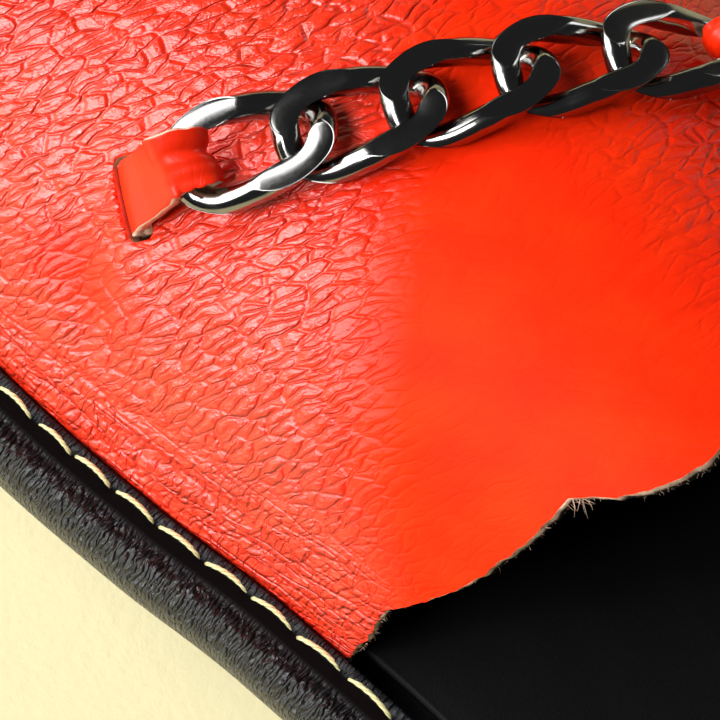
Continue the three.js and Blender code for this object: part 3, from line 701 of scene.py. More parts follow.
def cut_edge():
    """Cut edge of the vamp: a pale rim under the grain side, then the black lining's edge."""
    base = colour_of("raw_edge")
    return fibrous("cut_edge", base, tinted(base, 0.7, 0.4, 0.3), colour_of("lining"))


def lining():
    """Black textile lining inside the vamp."""
    base = colour_of("lining")
    return fibrous("lining", base, tinted(base, 2.2, 2.2, 2.2))


def rand_leather():
    """Black leather: short ridges across its roll and its flange, with a matte shader mixed in over
    the smooth channel, whose colour is darker and browner, partly as painted shade of the groove.
    The raised pebbles and crimps are lightened as a painted highlight."""
    finish = Finish("rand_leather")
    cell = sizes().rand_pebble * 10
    uv = finish.uv()
    pebbled = finish.mask("pebbled")
    ridged = finish.mask("ridged")
    bent = finish.warped(uv, 0.55 / cell, cell * 0.8)
    bent = finish.warped(bent, 2.0 / cell, cell * 0.25)
    pebble = finish.eased(finish.cells(finish.mapped(bent, PEBBLES, PEBBLE_TILT), 1 / cell), 0.0, 0.4)
    crimp = finish.noise(finish.mapped(bent, CRIMPS, CRIMP_TILT), 1.0 / cell, 2.0)
    crimp = finish.eased(crimp, 0.35, 0.65)
    fine = finish.noise(uv, 6 / cell, 3.0, 0.65)
    relief = pebble * 0.5 + crimp * 0.5
    height = relief * pebbled + crimp * ridged * 0.8 + fine * 0.08
    base = colour_of("rand")
    # Partly painted shade: the channel, where neither mask is set, is darker and browner than the rest
    color = finish.mixed(pebbled + ridged, tinted(base, 0.35, 0.15, 0.12), base)
    # Painted highlight: the raised parts of the pebbles and crimps are lightened to a pale bluish grey
    raised = finish.eased(relief, 0.5, 0.95) * (pebbled + ridged * 0.6) * 0.85
    color = finish.mixed(raised, color, tinted(base, 3.0, 3.8, 3.6))
    rough = 0.85 - pebbled * 0.5 - ridged * 0.3
    normal = finish.bump(height, RELIEF["rand"])
    matte = finish.shader(0.9, color, normal, Specular_IOR_Level=0.04)
    glossy = finish.shader(rough, color, normal, Specular_IOR_Level=0.75)
    return finish.ended(finish.blended(pebbled + ridged * 0.6, matte, glossy))


def black_suede():
    """Footbed suede: a near black nap with soft brushed patches; the near black is partly painted shade of the
    inside of the shoe.
    """
    finish = Finish("black_suede")
    place = finish.object_place()
    nap = finish.noise(place, 3200, 3.0, 0.7)
    brushed = finish.noise(finish.mapped(place, (1, 2.2, 1), 0.4), 60, 3.0)
    base = colour_of("footbed")
    lit = tinted(base, 2.0, 2.1, 2.2)
    color = finish.mixed(finish.eased(brushed, 0.35, 0.75) * 0.7, base, lit)
    color = finish.mixed(finish.eased(nap, 0.6, 0.85) * 0.5, color, lit)
    return finish.surface(1.0, color, finish.bump(nap, RELIEF["nap"]), Specular_IOR_Level=0.12,
                          Sheen_Weight=0.04, Sheen_Roughness=0.6)


def sole_finish(name, roughness, cell):
    """Moulded foam or rubber: a fine grain with soft scuffs."""
    finish = Finish(name)
    place = finish.object_place()
    grain = finish.noise(place, cell, 3.0, 0.6)
    scuff = finish.noise(finish.mapped(place, (1, 1, 4)), 70, 4.0, 0.65)
    base = colour_of("sole")
    color = finish.mixed(finish.eased(scuff, 0.52, 0.8) * 0.6, base, tinted(base, 3.0, 3.0, 3.0))
    rough = finish.eased(scuff, 0.3, 0.7, roughness - 0.06, roughness + 0.1)
    return finish.surface(rough, color, finish.bump(grain, RELIEF["sole"]), Specular_IOR_Level=0.35)


def twisted_thread():
    """Waxed cream thread with painted shade: darker between its plies and near its holes."""
    finish = Finish("twisted_thread")
    ply = finish.mask("ply")
    end = finish.mask("end")
    fuzz = finish.noise(finish.object_place(), 5200, 2.0)
    base = colour_of("thread")
    dark = tinted(base, 0.42, 0.34, 0.22)
    # Painted shade: the ply mask darkens the grooves between the plies, and the end mask the ends that dive into the
    # holes
    color = finish.mixed(finish.eased(ply, 0.0, 0.75, 0.75, 0.0), base, dark)
    color = finish.mixed(end * 0.55, color, dark)
    return finish.surface(0.55, color, finish.bump(fuzz, RELIEF["thread"]), Specular_IOR_Level=0.4,
                          Sheen_Weight=0.15)


def gunmetal():
    """Polished black nickel with faint hairlines and a little haze."""
    finish = Finish("gunmetal")
    place = finish.object_place()
    haze = finish.noise(place, 260, 3.0, 0.6)
    hairline = finish.noise(finish.mapped(place, (1, 9, 1), 0.9), 1400, 2.0)
    base = colour_of("metal")
    color = finish.mixed(finish.eased(haze, 0.4, 0.75) * 0.5, base, tinted(base, 0.55, 0.55, 0.55))
    rough = finish.eased(haze, 0.3, 0.75, 0.1, 0.2)
    return finish.surface(rough, color, finish.bump(hairline, RELIEF["hairline"]), Metallic=1.0)


# Vamp
# Creases, listed in shares of the vamp: the points each one runs through, its half width in
# millimetres, its depth as a share of the crease depth, and the height of its shoulders as a share
CREASES = (
    (((0.40, -0.845), (0.321, -0.843), (0.232, -0.868), (0.124, -0.892), (0.03, -0.86)),
     1.15, 1.0, 0.4),
    (((0.265, -0.803), (0.220, -0.791), (0.170, -0.771), (0.116, -0.760), (0.037, -0.768)),
     1.1, 0.6, 0.4),
    (((0.312, -0.757), (0.265, -0.745), (0.221, -0.731), (0.182, -0.702)), 1.1, 0.5, 0.4),
    (((0.52, -0.80), (0.45, -0.775), (0.38, -0.77), (0.33, -0.79)), 1.2, 0.7, 0.4),
    (((0.15, -0.83), (0.10, -0.815), (0.05, -0.80)), 1.0, 0.5, 0.4),
    (((0.37, -0.44), (0.319, -0.534), (0.283, -0.614), (0.245, -0.68)), 3.2, 1.1, 0.3),
    (((0.372, -0.352), (0.40, -0.365), (0.44, -0.39)), 1.3, 0.25, 0.3),
    (((0.352, -0.30), (0.376, -0.256), (0.400, -0.205)), 1.1, 0.14, 0.3),
    (((0.100, 0.03), (0.113, 0.147), (0.115, 0.242), (0.11, 0.32)), 0.5, 0.22, 0.7),
    (((0.060, 0.01), (0.068, 0.070), (0.068, 0.173), (0.06, 0.27)), 0.5, 0.2, 0.7),
    (((0.165, 0.15), (0.175, 0.245), (0.182, 0.316)), 0.5, 0.2, 0.7),
    (((0.46, -0.30), (0.47, -0.12), (0.465, 0.06), (0.45, 0.25)), 2.4, 0.7, 0.4),
    (((0.55, -0.42), (0.565, -0.2), (0.565, 0.05), (0.55, 0.3), (0.53, 0.45)), 2.8, 1.0, 0.45),
    (((0.62, -0.36), (0.635, -0.12), (0.635, 0.12), (0.62, 0.36)), 2.2, 0.8, 0.45),
    (((0.50, 0.60), (0.44, 0.70), (0.38, 0.74), (0.30, 0.76)), 1.2, 0.8, 0.5),
    (((0.28, 0.84), (0.20, 0.87), (0.12, 0.88), (0.04, 0.86)), 0.7, 0.9, 0.5),
    (((0.36, 0.50), (0.33, 0.60), (0.28, 0.68)), 2.6, 1.0, 0.35),
    (((0.60, 0.84), (0.48, 0.86), (0.38, 0.86)), 0.8, 0.7, 0.5),
    (((0.64, -0.85), (0.56, -0.86), (0.47, -0.85)), 0.8, 0.7, 0.5),
)


# Points along a crease, how far it reaches in half widths, the place and width of its shoulders in
# half widths, and the power with which it fades towards its ends
CREASE_POINTS = 60
CREASE_REACH = 4.5
CREASE_SHOULDERS = (1.9, 0.9)
CREASE_FADE = 0.7

# The cut edge's roughness: size in millimetres, seed of its draws, and over how much it is smoothed
ROUGH_CUT = ((0.10, 7, 3), (0.10, 11, 14))

# Powers with which the rows crowd at the throat and the scallops fade from it, how fast the cut's
# roughness fades, and the step that measures the vamp's length at the throat
ROW_POWER = 1.15
SCALLOP_FADE = 5
ROUGH_FADE = 160
THROAT_STEP = 0.01

# Grain and polish fade in beside the flat part of the throat: start and width, in shares of the vamp
THROAT_SLANT = 0.4
GRAIN_RISES = ((0.205, 0.12), (0.08, 0.4))
GLOSS_RISES = ((0.225, 0.12), (0.08, 0.5))
GRAIN_FLAT = 0.1
GRAIN_LATERAL = 0.6
GLOSS_LATERAL = 0.5

# The smooth hollow in front of the medial slit, as middle and width along and across, and how much of
# the grain and of the polish it takes
SMOOTH_ALONG = (0.31, 0.045)
SMOOTH_ACROSS = (-0.56, 0.07)
SMOOTH_GRAIN = 0.6
SMOOTH_GLOSS = 0.7

# Where the short grain beside the rand starts across, how wide it fades in, and how it leans
BESIDE_START = 0.66
BESIDE_FADE = 0.12
BESIDE_LEAN = 0.4

# Leather at a slit: height, middle and width before the slit, and half width, all in millimetres
SLIT_LIP = (0.55, (-1.7, 1.3), 4.2)
SLIT_HOLLOW = (0.35, (4.0, 3.5), 4.5)

# A slit's outline: points on each side, how much and with what power it narrows at its ends, its
# opening behind the tab as a share of the one before it, and its cut's depth in walls
SLIT_POINTS = 17
SLIT_NARROWING = 0.4
SLIT_POWER = 16
SLIT_BEHIND = 0.8
SLIT_WALLS = 4
SHARP_ANGLE = math.radians(60)


def open_curve(points, count):
    """A smooth open curve through points: Catmull-Rom with its end points doubled."""
    points = np.asarray(points, float)
    padded = np.vstack([2 * points[0] - points[1], points, 2 * points[-1] - points[-2], points[-1]])
    return catmull_rom(padded, np.linspace(1, len(points), count, endpoint=True) - 1e-9)


def crease_relief(points):
    """Height of the creases over points: each is a soft trough, minus a bell of the distance to its
    line, with a lower bell on both shoulders, and fades to nothing at its ends."""
    relief = np.zeros(len(points))
    deepest = sizes().crease_depth * 1000
    for line, width, depth, shoulder in CREASES:
        route = open_curve(line, CREASE_POINTS)
        line_points = vamp_at(route[:, 0], route[:, 1])
        reach = CREASE_REACH * width
        low, high = line_points.min(0) - reach, line_points.max(0) + reach
        near = np.nonzero(((points >= low) & (points <= high)).all(1))[0]
        gap = np.linalg.norm(points[near, None, :] - line_points[None, :, :], axis=2)
        nearest = gap.argmin(1)
        distance = gap[np.arange(len(near)), nearest] / width
        fade = np.sin(np.pi * (nearest + 0.5) / CREASE_POINTS) ** CREASE_FADE
        trough = bell(distance, (0, 1)) - shoulder * bell(distance, CREASE_SHOULDERS)
        relief[near] -= deepest * depth * fade * trough
    return relief


def throat_columns():
    """Places across the vamp, and how far the throat's edge bulges towards the heel at each."""
    across, bulge = [-1.0], [0.0]
    start = -1.0
    for end, depth, facets in SCALLOPS:
        share = np.arange(1, facets * COLUMNS_PER_FACET + 1) / (facets * COLUMNS_PER_FACET)
        across.extend(start + (end - start) * share)
        bulge.extend(depth * SCALLOP_DEPTH * (1 - (2 * share - 1) ** 2))
        start = end
    return np.array(across), np.array(bulge)


def hand_cut(count, seed, spread):
    """A rough line: seeded random steps smoothed over a few neighbours."""
    rough = np.random.default_rng(seed).normal(size=count + 2 * spread)
    kernel = np.hanning(spread + 2)[1:-1]
    smooth = np.convolve(rough, kernel / np.linalg.norm(kernel), "same")
    return smooth[spread:spread + count]


def throat_scale(across):
    """Millimetres along the vamp to a share of one, at places across its throat."""
    step = vamp_at(THROAT_STEP, across) - vamp_at(0.0, across)
    return np.linalg.norm(step, axis=1) / THROAT_STEP


def vamp_parameters():
    """Along and across at each point of the vamp's outer grid, rows from the throat to the toe."""
    across, bulge = throat_columns()
    count = len(across)
    even = np.linspace(-1, 1, count)
    share = np.linspace(0, 1, ROWS_ALONG + 1)[:, None]
    place = across + (even - across) * smooth_rise(share)
    place[-1] = -np.abs(even)
    scale = throat_scale(across)
    rough = sum(size * hand_cut(count, seed, spread) for size, seed, spread in ROUGH_CUT)
    rough[[0, -1]] = 0
    scalloped = (bulge / scale) * (1 - share) ** SCALLOP_FADE
    along = share**ROW_POWER - scalloped - (rough / scale) * np.exp(-share * ROUGH_FADE)
    return along, place


def grid_normals(grid):
    """Outward directions of a grid of points: the cross product of its two gradients."""
    return unit(np.cross(np.gradient(grid, axis=1), np.gradient(grid, axis=0)))


def from_throat(along, across):
    """How far a place lies from the flat part beside the medial throat."""
    return along - THROAT_SLANT * across


def smooth_valley(along, across):
    """The smooth hollow in front of the medial slit: a bell along times a bell across."""
    return bell(along, SMOOTH_ALONG) * bell(across, SMOOTH_ACROSS)


def grain_strength(along, across):
    """How deep the grain is: full at the sides and the toe, almost flat in the middle of the throat."""
    medial = risen(from_throat(along, across), GRAIN_RISES[0])
    lateral = GRAIN_LATERAL * risen(across, GRAIN_RISES[1])
    full = GRAIN_FLAT + (1 - GRAIN_FLAT) * np.maximum(medial, lateral)
    return np.clip(full * (1 - SMOOTH_GRAIN * smooth_valley(along, across)), 0, 1)


def gloss_strength(along, across):
    """How glossy the leather is: polished on the grained sides, dull where it lies flat."""
    medial = risen(from_throat(along, across), GLOSS_RISES[0])
    lateral = GLOSS_LATERAL * risen(across, GLOSS_RISES[1])
    return np.maximum(medial, lateral) * (1 - SMOOTH_GLOSS * smooth_valley(along, across))


def beside_rand(along, across):
    """Where the grain is the short one beside the rand: it starts farther out towards the toe."""
    start = BESIDE_START + BESIDE_LEAN * np.clip(along - 0.25, -0.2, 0.2)
    return smooth_rise((np.abs(across) - start) / BESIDE_FADE)


def slit_relief(points, from_slit, direction):
    """The leather stands up a little in front of a slit, where the tab pulls it: a lip and a hollow,
    each a bell outward times a bell sideways."""
    origin, tangent, normal, side = chain_frame(from_slit, 0.0)
    offset = points - origin
    out = (offset @ tangent) * direction
    beside = offset @ side
    lip_height, lip_out, lip_side = SLIT_LIP
    hollow_depth, hollow_out, hollow_side = SLIT_HOLLOW
    lip = bell(out, lip_out) * bell(beside, (0, lip_side), 4)
    hollow = bell(out, hollow_out) * bell(beside, (0, hollow_side))
    return lip_height * lip - hollow_depth * hollow


def widened(grid):
    """A grid with its first and last columns doubled, for the tucks beside the footbed."""
    return np.concatenate([grid[:, :1], grid, grid[:, -1:]], axis=1)


def vamp_skins(along, across):
    """Outer and inner skin: the function's points with creases on them, and the points a wall's
    thickness inside, each with a column more on both sides that goes straight down into the slot."""
    skin = vamp_at(along, across)
    normals = grid_normals(skin)
    normals[-1] = normals[-2]
    normals[-1] = unit(normals[-1] + normals[-1][::-1])
    inner = skin - normals * UPPER_WALL
    flat = skin.reshape(-1, 3)
    relief = crease_relief(flat) + slit_relief(flat, 0.0, 1) + slit_relief(flat, CHAIN_SPAN, -1)
    relief = relief.reshape(along.shape)
    fade = smooth_rise((1 - np.abs(across)) / 0.04) * smooth_rise((1 - along) / 0.05)
    outer = widened(skin + normals * (relief * fade)[..., None])
    slot = unit(normals[:, [0, -1]] * (1, 1, 0)) * UPPER_WALL
    inner[:, [0, -1]] = skin[:, [0, -1]] - slot
    inner = widened(inner)
    plain = widened(skin)
    for grid in (outer, inner, plain):
        grid[:, [0, -1]] += (0, 0, -TUCK_DEPTH)
    return outer, inner[::INNER_STRIDE], plain


def vamp_map(plain):
    """The vamp's own map, in tenths of a metre: arc lengths across from the ridge and along from the
    throat."""
    across_run = grid_run(plain, 1)
    middle = plain.shape[1] // 2
    across_run -= across_run[:, middle:middle + 1]
    bulge = np.concatenate([[0], throat_columns()[1], [0]])
    return np.stack([across_run, grid_run(plain, 0) - bulge], -1) / 100


def vamp_leather():
    """The vamp as one closed shell: outer skin with its creases, inner skin a wall's thickness
    inside it, a fibrous cut edge along the throat and straight tucks into the slot by the footbed."""
    along, across = vamp_parameters()
    outer, inner, plain = vamp_skins(along, across)
    rows, columns = outer.shape[:2]
    inner_rows = inner.shape[0]

    # The cut edge: rows between the two skins at the throat, a little fibrous
    steps = CUT_EDGE_ROWS
    share = (np.arange(1, steps) / steps)[:, None, None]
    toward_heel = unit(outer[0] - outer[3])
    fibres = np.stack([hand_cut(columns, 20 + k, 2) for k in range(steps - 1)])[..., None]
    bulged = 0.16 * np.sin(np.pi * share) + 0.07 * fibres
    edge = outer[0] * (1 - share) + inner[0] * share + toward_heel * bulged

    # The last row's two halves lie on each other, so each point takes the number of its twin
    points = np.concatenate([grid.reshape(-1, 3) for grid in (outer, inner, edge)])
    inner_start = rows * columns
    edge_start = inner_start + inner_rows * columns
    index = np.arange(len(points))
    half = columns // 2
    for start, last in ((0, rows), (inner_start, inner_rows)):
        row = start + (last - 1) * columns + np.arange(columns)
        index[row[half + 1:]] = row[:half][::-1]

    # Faces of both skins, of the cut edge, and of the two feet, where a stretch of the outer skin's
    # side meets one edge of the coarser inner skin
    ladder = np.vstack([
        np.arange(columns),
        edge_start + np.arange((steps - 1) * columns).reshape(steps - 1, columns),
        inner_start + np.arange(columns),
    ])
    rungs = np.stack([ladder[:-1, :-1], ladder[1:, :-1], ladder[1:, 1:], ladder[:-1, 1:]], -1)
    blocks = np.arange(inner_rows - 1)
    stride = np.arange(INNER_STRIDE + 1)
    feet = []
    for column, flip in ((0, False), (columns - 1, True)):
        outer_line = (blocks[:, None] * INNER_STRIDE + stride) * columns + column
        inner_line = inner_start + np.stack([blocks + 1, blocks], -1) * columns + column
        gons = np.concatenate([outer_line, inner_line], axis=1)
        feet.append(gons[:, ::-1] if flip else gons)
    corners = [
        grid_faces(rows, columns, 0, flip=True),
        grid_faces(inner_rows, columns, inner_start),
        rungs.reshape(-1, 4),
        np.concatenate(feet),
    ]
    faces = [index[f] for f in corners]

    flat_map = vamp_map(plain)
    edge_map = np.repeat(flat_map[:1], steps - 1, axis=0)
    maps = [grid.reshape(-1, 2) for grid in (flat_map, flat_map[::INNER_STRIDE], edge_map)]
    maps = np.concatenate(maps)
    uv = np.concatenate([maps[f].reshape(-1, 2) for f in corners])

    along, across = widened(along), widened(across)
    extra = np.zeros(len(points) - inner_start)
    masks = {name: np.concatenate([strength(along, across).ravel(), extra]) for name, strength in (
        ("grain", grain_strength), ("side", beside_rand), ("gloss", gloss_strength))}
    masks["depth"] = np.concatenate([np.zeros(inner_start), np.ones(inner_rows * columns),
                                     np.repeat(np.arange(1, steps) / steps, columns)])
    finishes = [MATERIALS["red_leather"], MATERIALS["lining"], MATERIALS["cut_edge"]]
    return build_piece("vamp_leather", points, faces, finishes, (0, 1, 2, 2), uv, masks)


def cut_slit(vamp, from_slit, direction):
    """Cuts one slit through the vamp: a lens shaped block, close behind the tab and open before it."""
    origin, tangent, normal, side = chain_frame(from_slit, 0.0)
    turn = np.linspace(-1, 1, SLIT_POINTS)
    lens = 1 - SLIT_NARROWING * turn**SLIT_POWER
    aside = turn * SLIT_LENGTH / 2
    outline = np.vstack([
        np.column_stack([direction * (TAB_THICKNESS + GAP) * lens, aside]),
        np.column_stack([-direction * (TAB_THICKNESS + GAP * SLIT_BEHIND) * lens, aside])[::-1],
    ])
    if direction < 0:
        outline = outline[::-1]
    count = len(outline)
    flat = origin + outline[:, :1] * tangent + outline[:, 1:] * side
    points = np.concatenate([flat + height * normal
                             for height in (-SLIT_WALLS * UPPER_WALL, SLIT_WALLS * UPPER_WALL)])
    wall = np.stack([np.arange(count), (np.arange(count) + 1) % count], -1)
    faces = [np.column_stack([wall, wall[:, ::-1] + count]), np.arange(count)[None, ::-1],
             np.arange(count)[None] + count]
    cutter = build_piece("slit_cutter", points, faces, [MATERIALS["raw_leather"]], smooth=False)
    modifier = vamp.modifiers.new("slit", "BOOLEAN")
    modifier.operation = "DIFFERENCE"
    modifier.solver = "EXACT"
    modifier.material_mode = "TRANSFER"
    modifier.object = cutter
    apply_modifiers(vamp)
    vamp.data.set_sharp_from_angle(angle=SHARP_ANGLE)
    bpy.data.objects.remove(cutter)


def apply_modifiers(piece):
    """Replaces a piece's mesh by the one that its modifiers give."""
    graph = bpy.context.evaluated_depsgraph_get()
    mesh = bpy.data.meshes.new_from_object(piece.evaluated_get(graph))
    old = piece.data
    piece.modifiers.clear()
    piece.data = mesh
    mesh.name = old.name
    bpy.data.meshes.remove(old)


# Chain. Between which places its line is worked out and in how many points, half the step that
# measures its direction, and over what length it comes down from the tabs
CHAIN_REACH = (-0.8, 0.9)
CHAIN_POINTS = 1601
CHAIN_HALF_STEP = 0.5
TAB_SLOPE = LINK_LENGTH * 0.9


def chain_table():
    """The chain's line on the vamp: along falls evenly with across; its arc length from the slit."""
    across = np.linspace(*CHAIN_REACH, CHAIN_POINTS)
    along = CHAIN_AT_RIDGE + CHAIN_DRIFT * across
    points = vamp_at(along, across)
    run = lengths_along(points)
    return across, run - np.interp(CHAIN_MEDIAL, across, run)


CHAIN_ACROSS, CHAIN_RUN = chain_table()
PITCH = LINK_LENGTH - 2 * LINK_BAND - LINK_SLACK
FIRST_LINK = TAB_REACH + LINK_LENGTH / 2 - LINK_BAND / 2
CHAIN_SPAN = 2 * FIRST_LINK + PITCH * (LINK_COUNT - 1)
RIDE_HEIGHT = LINK_HEIGHT / 2 + GAP


def chain_frame(length, height):
    """Position, tangent, normal and side on the chain's line, length from the slit, height above."""
    length = np.asarray(length, float)
    height = np.asarray(height, float)

    def on_line(run):
        across = np.interp(run, CHAIN_RUN, CHAIN_ACROSS)
        return across, CHAIN_AT_RIDGE + CHAIN_DRIFT * across

    across, along = on_line(length)
    before, after = on_line(length - CHAIN_HALF_STEP), on_line(length + CHAIN_HALF_STEP)
    tangent = unit(vamp_at(after[1], after[0]) - vamp_at(before[1], before[0]))
    normal = vamp_normal(along, across)
    normal = unit(normal - tangent * (normal * tangent).sum(-1, keepdims=True))
    side = np.cross(normal, tangent)
    return vamp_at(along, across) + normal * height[..., None], tangent, normal, side


def ride_height(length):
    """Height of the chain's middle above the vamp, lifted at both ends by the tab under it."""
    from_end = np.minimum(length, CHAIN_SPAN - length)
    return RIDE_HEIGHT + TAB_LIFT * (1 - risen(from_end, (TAB_REACH, TAB_SLOPE)))


def link_frame(number):
    """Centre and directions of a link: its length lies on the chord of the line under it."""
    middle = FIRST_LINK + PITCH * number
    reach = LINK_LENGTH / 3
    before = chain_frame(middle - reach, ride_height(middle - reach))[0]
    after = chain_frame(middle + reach, ride_height(middle + reach))[0]
    centre, _, normal, _ = chain_frame(middle, ride_height(middle))
    x = unit(after - before)
    z = unit(normal - x * (normal @ x))
    return centre, np.stack([x, np.cross(z, x), z])


def link_path(turn):
    """Middle line of a link: a squarish oval, twisted about its long axis."""
    c, s = np.cos(turn), np.sin(turn)
    return np.stack([
        (LINK_LENGTH - LINK_BAND) / 2 * np.sign(c) * np.abs(c) ** LINK_SQUARENESS,
        (LINK_WIDTH - LINK_BAND) / 2 * np.sign(s) * np.abs(s) ** LINK_SQUARENESS,
        LINK_HAND * LINK_TWIST * np.sin(2 * turn),
    ], -1)


# The wire's half sizes, the height at which it is ground flat, and its sections round a link
WIRE_HALF_WIDTH = 1.42
WIRE_HALF_HEIGHT = 1.38
GROUND_FACE = LINK_HEIGHT / 2 - 0.3
AROUND_LINK = 150
TURN_STEP = 0.02

# Places across a ground face and down a flank, how far the face is domed, how much its corners are
# eased and with what power, and how narrow a face may become
FACE_PLACES = np.array([-1, -0.96, -0.88, -0.5, 0, 0.5, 0.88, 0.96])
FLANK_PLACES = np.array([0, 0.035, 0.09, 0.2, 0.35, 0.5, 0.65, 0.8, 0.91, 0.965])
FACE_DOME = 0.08
CORNER_EASE = 0.1
CORNER_POWER = 30
NARROWEST = 0.985


def link_shape():
    """A curb link: an oval wire carried round the twisted line and ground above and below. Where the
    wire rises over the ground plane its section is cut by it, to a slightly domed face whose
    corners are eased."""
    turn = 2 * np.pi * (np.arange(AROUND_LINK) + 0.5) / AROUND_LINK
    centre = link_path(turn)
    tangent = unit(link_path(turn + TURN_STEP) - link_path(turn - TURN_STEP))
    outward = unit(np.stack([tangent[:, 1], -tangent[:, 0], np.zeros(AROUND_LINK)], -1))
    rise = centre[:, 2]
    top = np.arccos(np.clip((GROUND_FACE - rise) / WIRE_HALF_HEIGHT, -1, NARROWEST))[:, None]
    bottom = np.arccos(np.clip((GROUND_FACE + rise) / WIRE_HALF_HEIGHT, -1, NARROWEST))[:, None]
    face = FACE_PLACES
    down = top + (np.pi - bottom - top) * FLANK_PLACES
    back = bottom + (np.pi - bottom - top) * FLANK_PLACES
    dome = FACE_DOME * face**2 + CORNER_EASE * np.abs(face) ** CORNER_POWER
    rise = rise[:, None]
    wide = WIRE_HALF_WIDTH * np.concatenate(
        [np.sin(top) * face, np.sin(down), -np.sin(bottom) * face, -np.sin(back)], axis=1)
    high = np.concatenate([
        np.minimum(GROUND_FACE, rise + WIRE_HALF_HEIGHT * np.cos(top)) - dome * np.sin(top) ** 2,
        rise + WIRE_HALF_HEIGHT * np.cos(down),
        np.maximum(-GROUND_FACE, rise - WIRE_HALF_HEIGHT * np.cos(bottom)) + dome * np.sin(bottom) ** 2,
        rise - WIRE_HALF_HEIGHT * np.cos(back),
    ], axis=1)
    ring = centre[:, None, :] * (1, 1, 0) + outward[:, None, :] * wide[..., None]
    ring[..., 2] = high
    return ring.reshape(-1, 3), ring_faces(AROUND_LINK, wide.shape[1]).reshape(-1, 4)[:, ::-1]


# How often and how far the end bar's foot point is moved to find it, and the half turn over which
# the bar's lean is measured
BAR_STEPS = 8
BAR_PACE = 0.8
BAR_HALF_TURN = 0.25


def end_bar(number, direction):
    """Where the outer end bar of the first or last link lies: distance from the slit, height above
    the vamp and lean along its width."""
    centre, axes = link_frame(number)
    bar = centre - axes[0] * direction * (LINK_LENGTH - LINK_BAND) / 2
    length = FIRST_LINK + PITCH * number - direction * (LINK_LENGTH - LINK_BAND) / 2
    for _ in range(BAR_STEPS):
        origin, tangent, _, _ = chain_frame(length, 0.0)
        length = length + float((bar - origin) @ tangent) * BAR_PACE
    origin, _, normal, _ = chain_frame(length, 0.0)
    end = np.pi if direction > 0 else 0.0
    half_turn = direction * BAR_HALF_TURN
    across = link_path(np.array(end - half_turn)) - link_path(np.array(end + half_turn))
    return length, float((bar - origin) @ normal), np.arctan2(across[2], across[1])


# What the vamp's masks are on the tabs, which are smooth and dull
TAB_MASKS = {"grain": 0.04, "side": 0.0, "gloss": 0.35}

# The tab's turns over the end bar: angle in degrees, width as a share, and how deep the pleats are
TAB_TURNS = (
    (95, 0.88, 0.4), (65, 0.86, 0.8), (35, 0.82, 1.0), (5, 0.76, 1.0), (-25, 0.66, 1.0),
    (-55, 0.56, 0.9), (-90, 0.52, 0.6),
)
TAB_CLEAR_OUT = 0.95
TAB_CLEAR_UP = 0.3
TAB_POINTS = 170
TAB_COLUMNS = 31

# The pleats: height of their ripple, turns across and how these grow; then each groove and lobe as
# its size in millimetres with its middle and width across; the sag and the uneven edge in millimetres
PLEAT_HEIGHT = 0.035
PLEAT_TURNS = (2.6, 0.35)
PLEAT_RISE = (0.5, 0.5)
PLEAT_GROOVE = (0.12, (0.33, 0.14))
LOBE_OUT = (0.25, (-0.35, 0.4))
LOBE_BACK = (0.5, (0.35, 0.22))
TAB_SAG = 0.1
TAB_UNEVEN = 0.07
TAB_SEED = 31


def tab_route(reach, bar_height):
    """A tab's route as rows of out, up, width as a share, how far it leans with the bar, and pleats:
    under the vamp, up through the slit, over the bar, and back down beside itself."""
    half = TAB_THICKNESS / 2
    ply = half + GAP / 2
    under = -UPPER_WALL - 2 * GAP - half
    turn_out = WIRE_HALF_WIDTH + TAB_CLEAR_OUT + half
    turn_up = WIRE_HALF_HEIGHT + TAB_CLEAR_UP + half
    route = [
        (-ply - TAB_MARGIN, under, 1.0, 0.0, 0.0),
        (-ply - 0.8, under, 1.0, 0.0, 0.0),
        (-ply, under + 0.9, 1.0, 0.0, 0.0),
        (-ply, -1.0, 1.0, 0.0, 0.0),
        (-ply + 0.15, -0.15, 1.0, 0.0, 0.0),
        (-ply + 0.8, 0.6, 1.0, 0.0, 0.0),
        (1.2, 1.75, 0.98, 0.1, 0.0),
        (reach * 0.48, bar_height * 0.85, 0.95, 0.3, 0.0),
        (reach * 0.76, bar_height + turn_up * 0.5, 0.9, 0.6, 0.2),
    ]
    for degrees, share, pleat in TAB_TURNS:
        angle = math.radians(degrees)
        up = max(bar_height + turn_up * math.sin(angle), GAP + half)
        route.append((reach + turn_out * math.cos(angle), up, share, 1.0, pleat))
    return route + [
        (reach * 0.5, GAP + half * 1.2, 0.7, 0.4, 0.3),
        (ply + 0.75, GAP + half * 0.7, 0.85, 0.0, 0.0),
        (ply, -0.7, 1.0, 0.0, 0.0),
        (ply, under + 0.9, 1.0, 0.0, 0.0),
        (ply + 0.8, under, 1.0, 0.0, 0.0),
        (ply + TAB_MARGIN, under, 1.0, 0.0, 0.0),
    ]


def tab_pleats(gathered):
    """Height of the pleats and how far they stand out, at places across a tab: a ripple that fades
    towards the flat edge, with one deep groove, and a lobe before and a hollow behind it."""
    turns, growth = PLEAT_TURNS
    edge, fade = PLEAT_RISE
    pleats = smooth_rise((edge - gathered) / fade)
    pleats = pleats * np.cos(2 * np.pi * (turns * gathered + growth * gathered**2))
    ripple = PLEAT_HEIGHT * pleats - PLEAT_GROOVE[0] * bell(gathered, PLEAT_GROOVE[1])
    lobe = LOBE_OUT[0] * bell(gathered, LOBE_OUT[1]) - LOBE_BACK[0] * bell(gathered, LOBE_BACK[1])
    return ripple, lobe


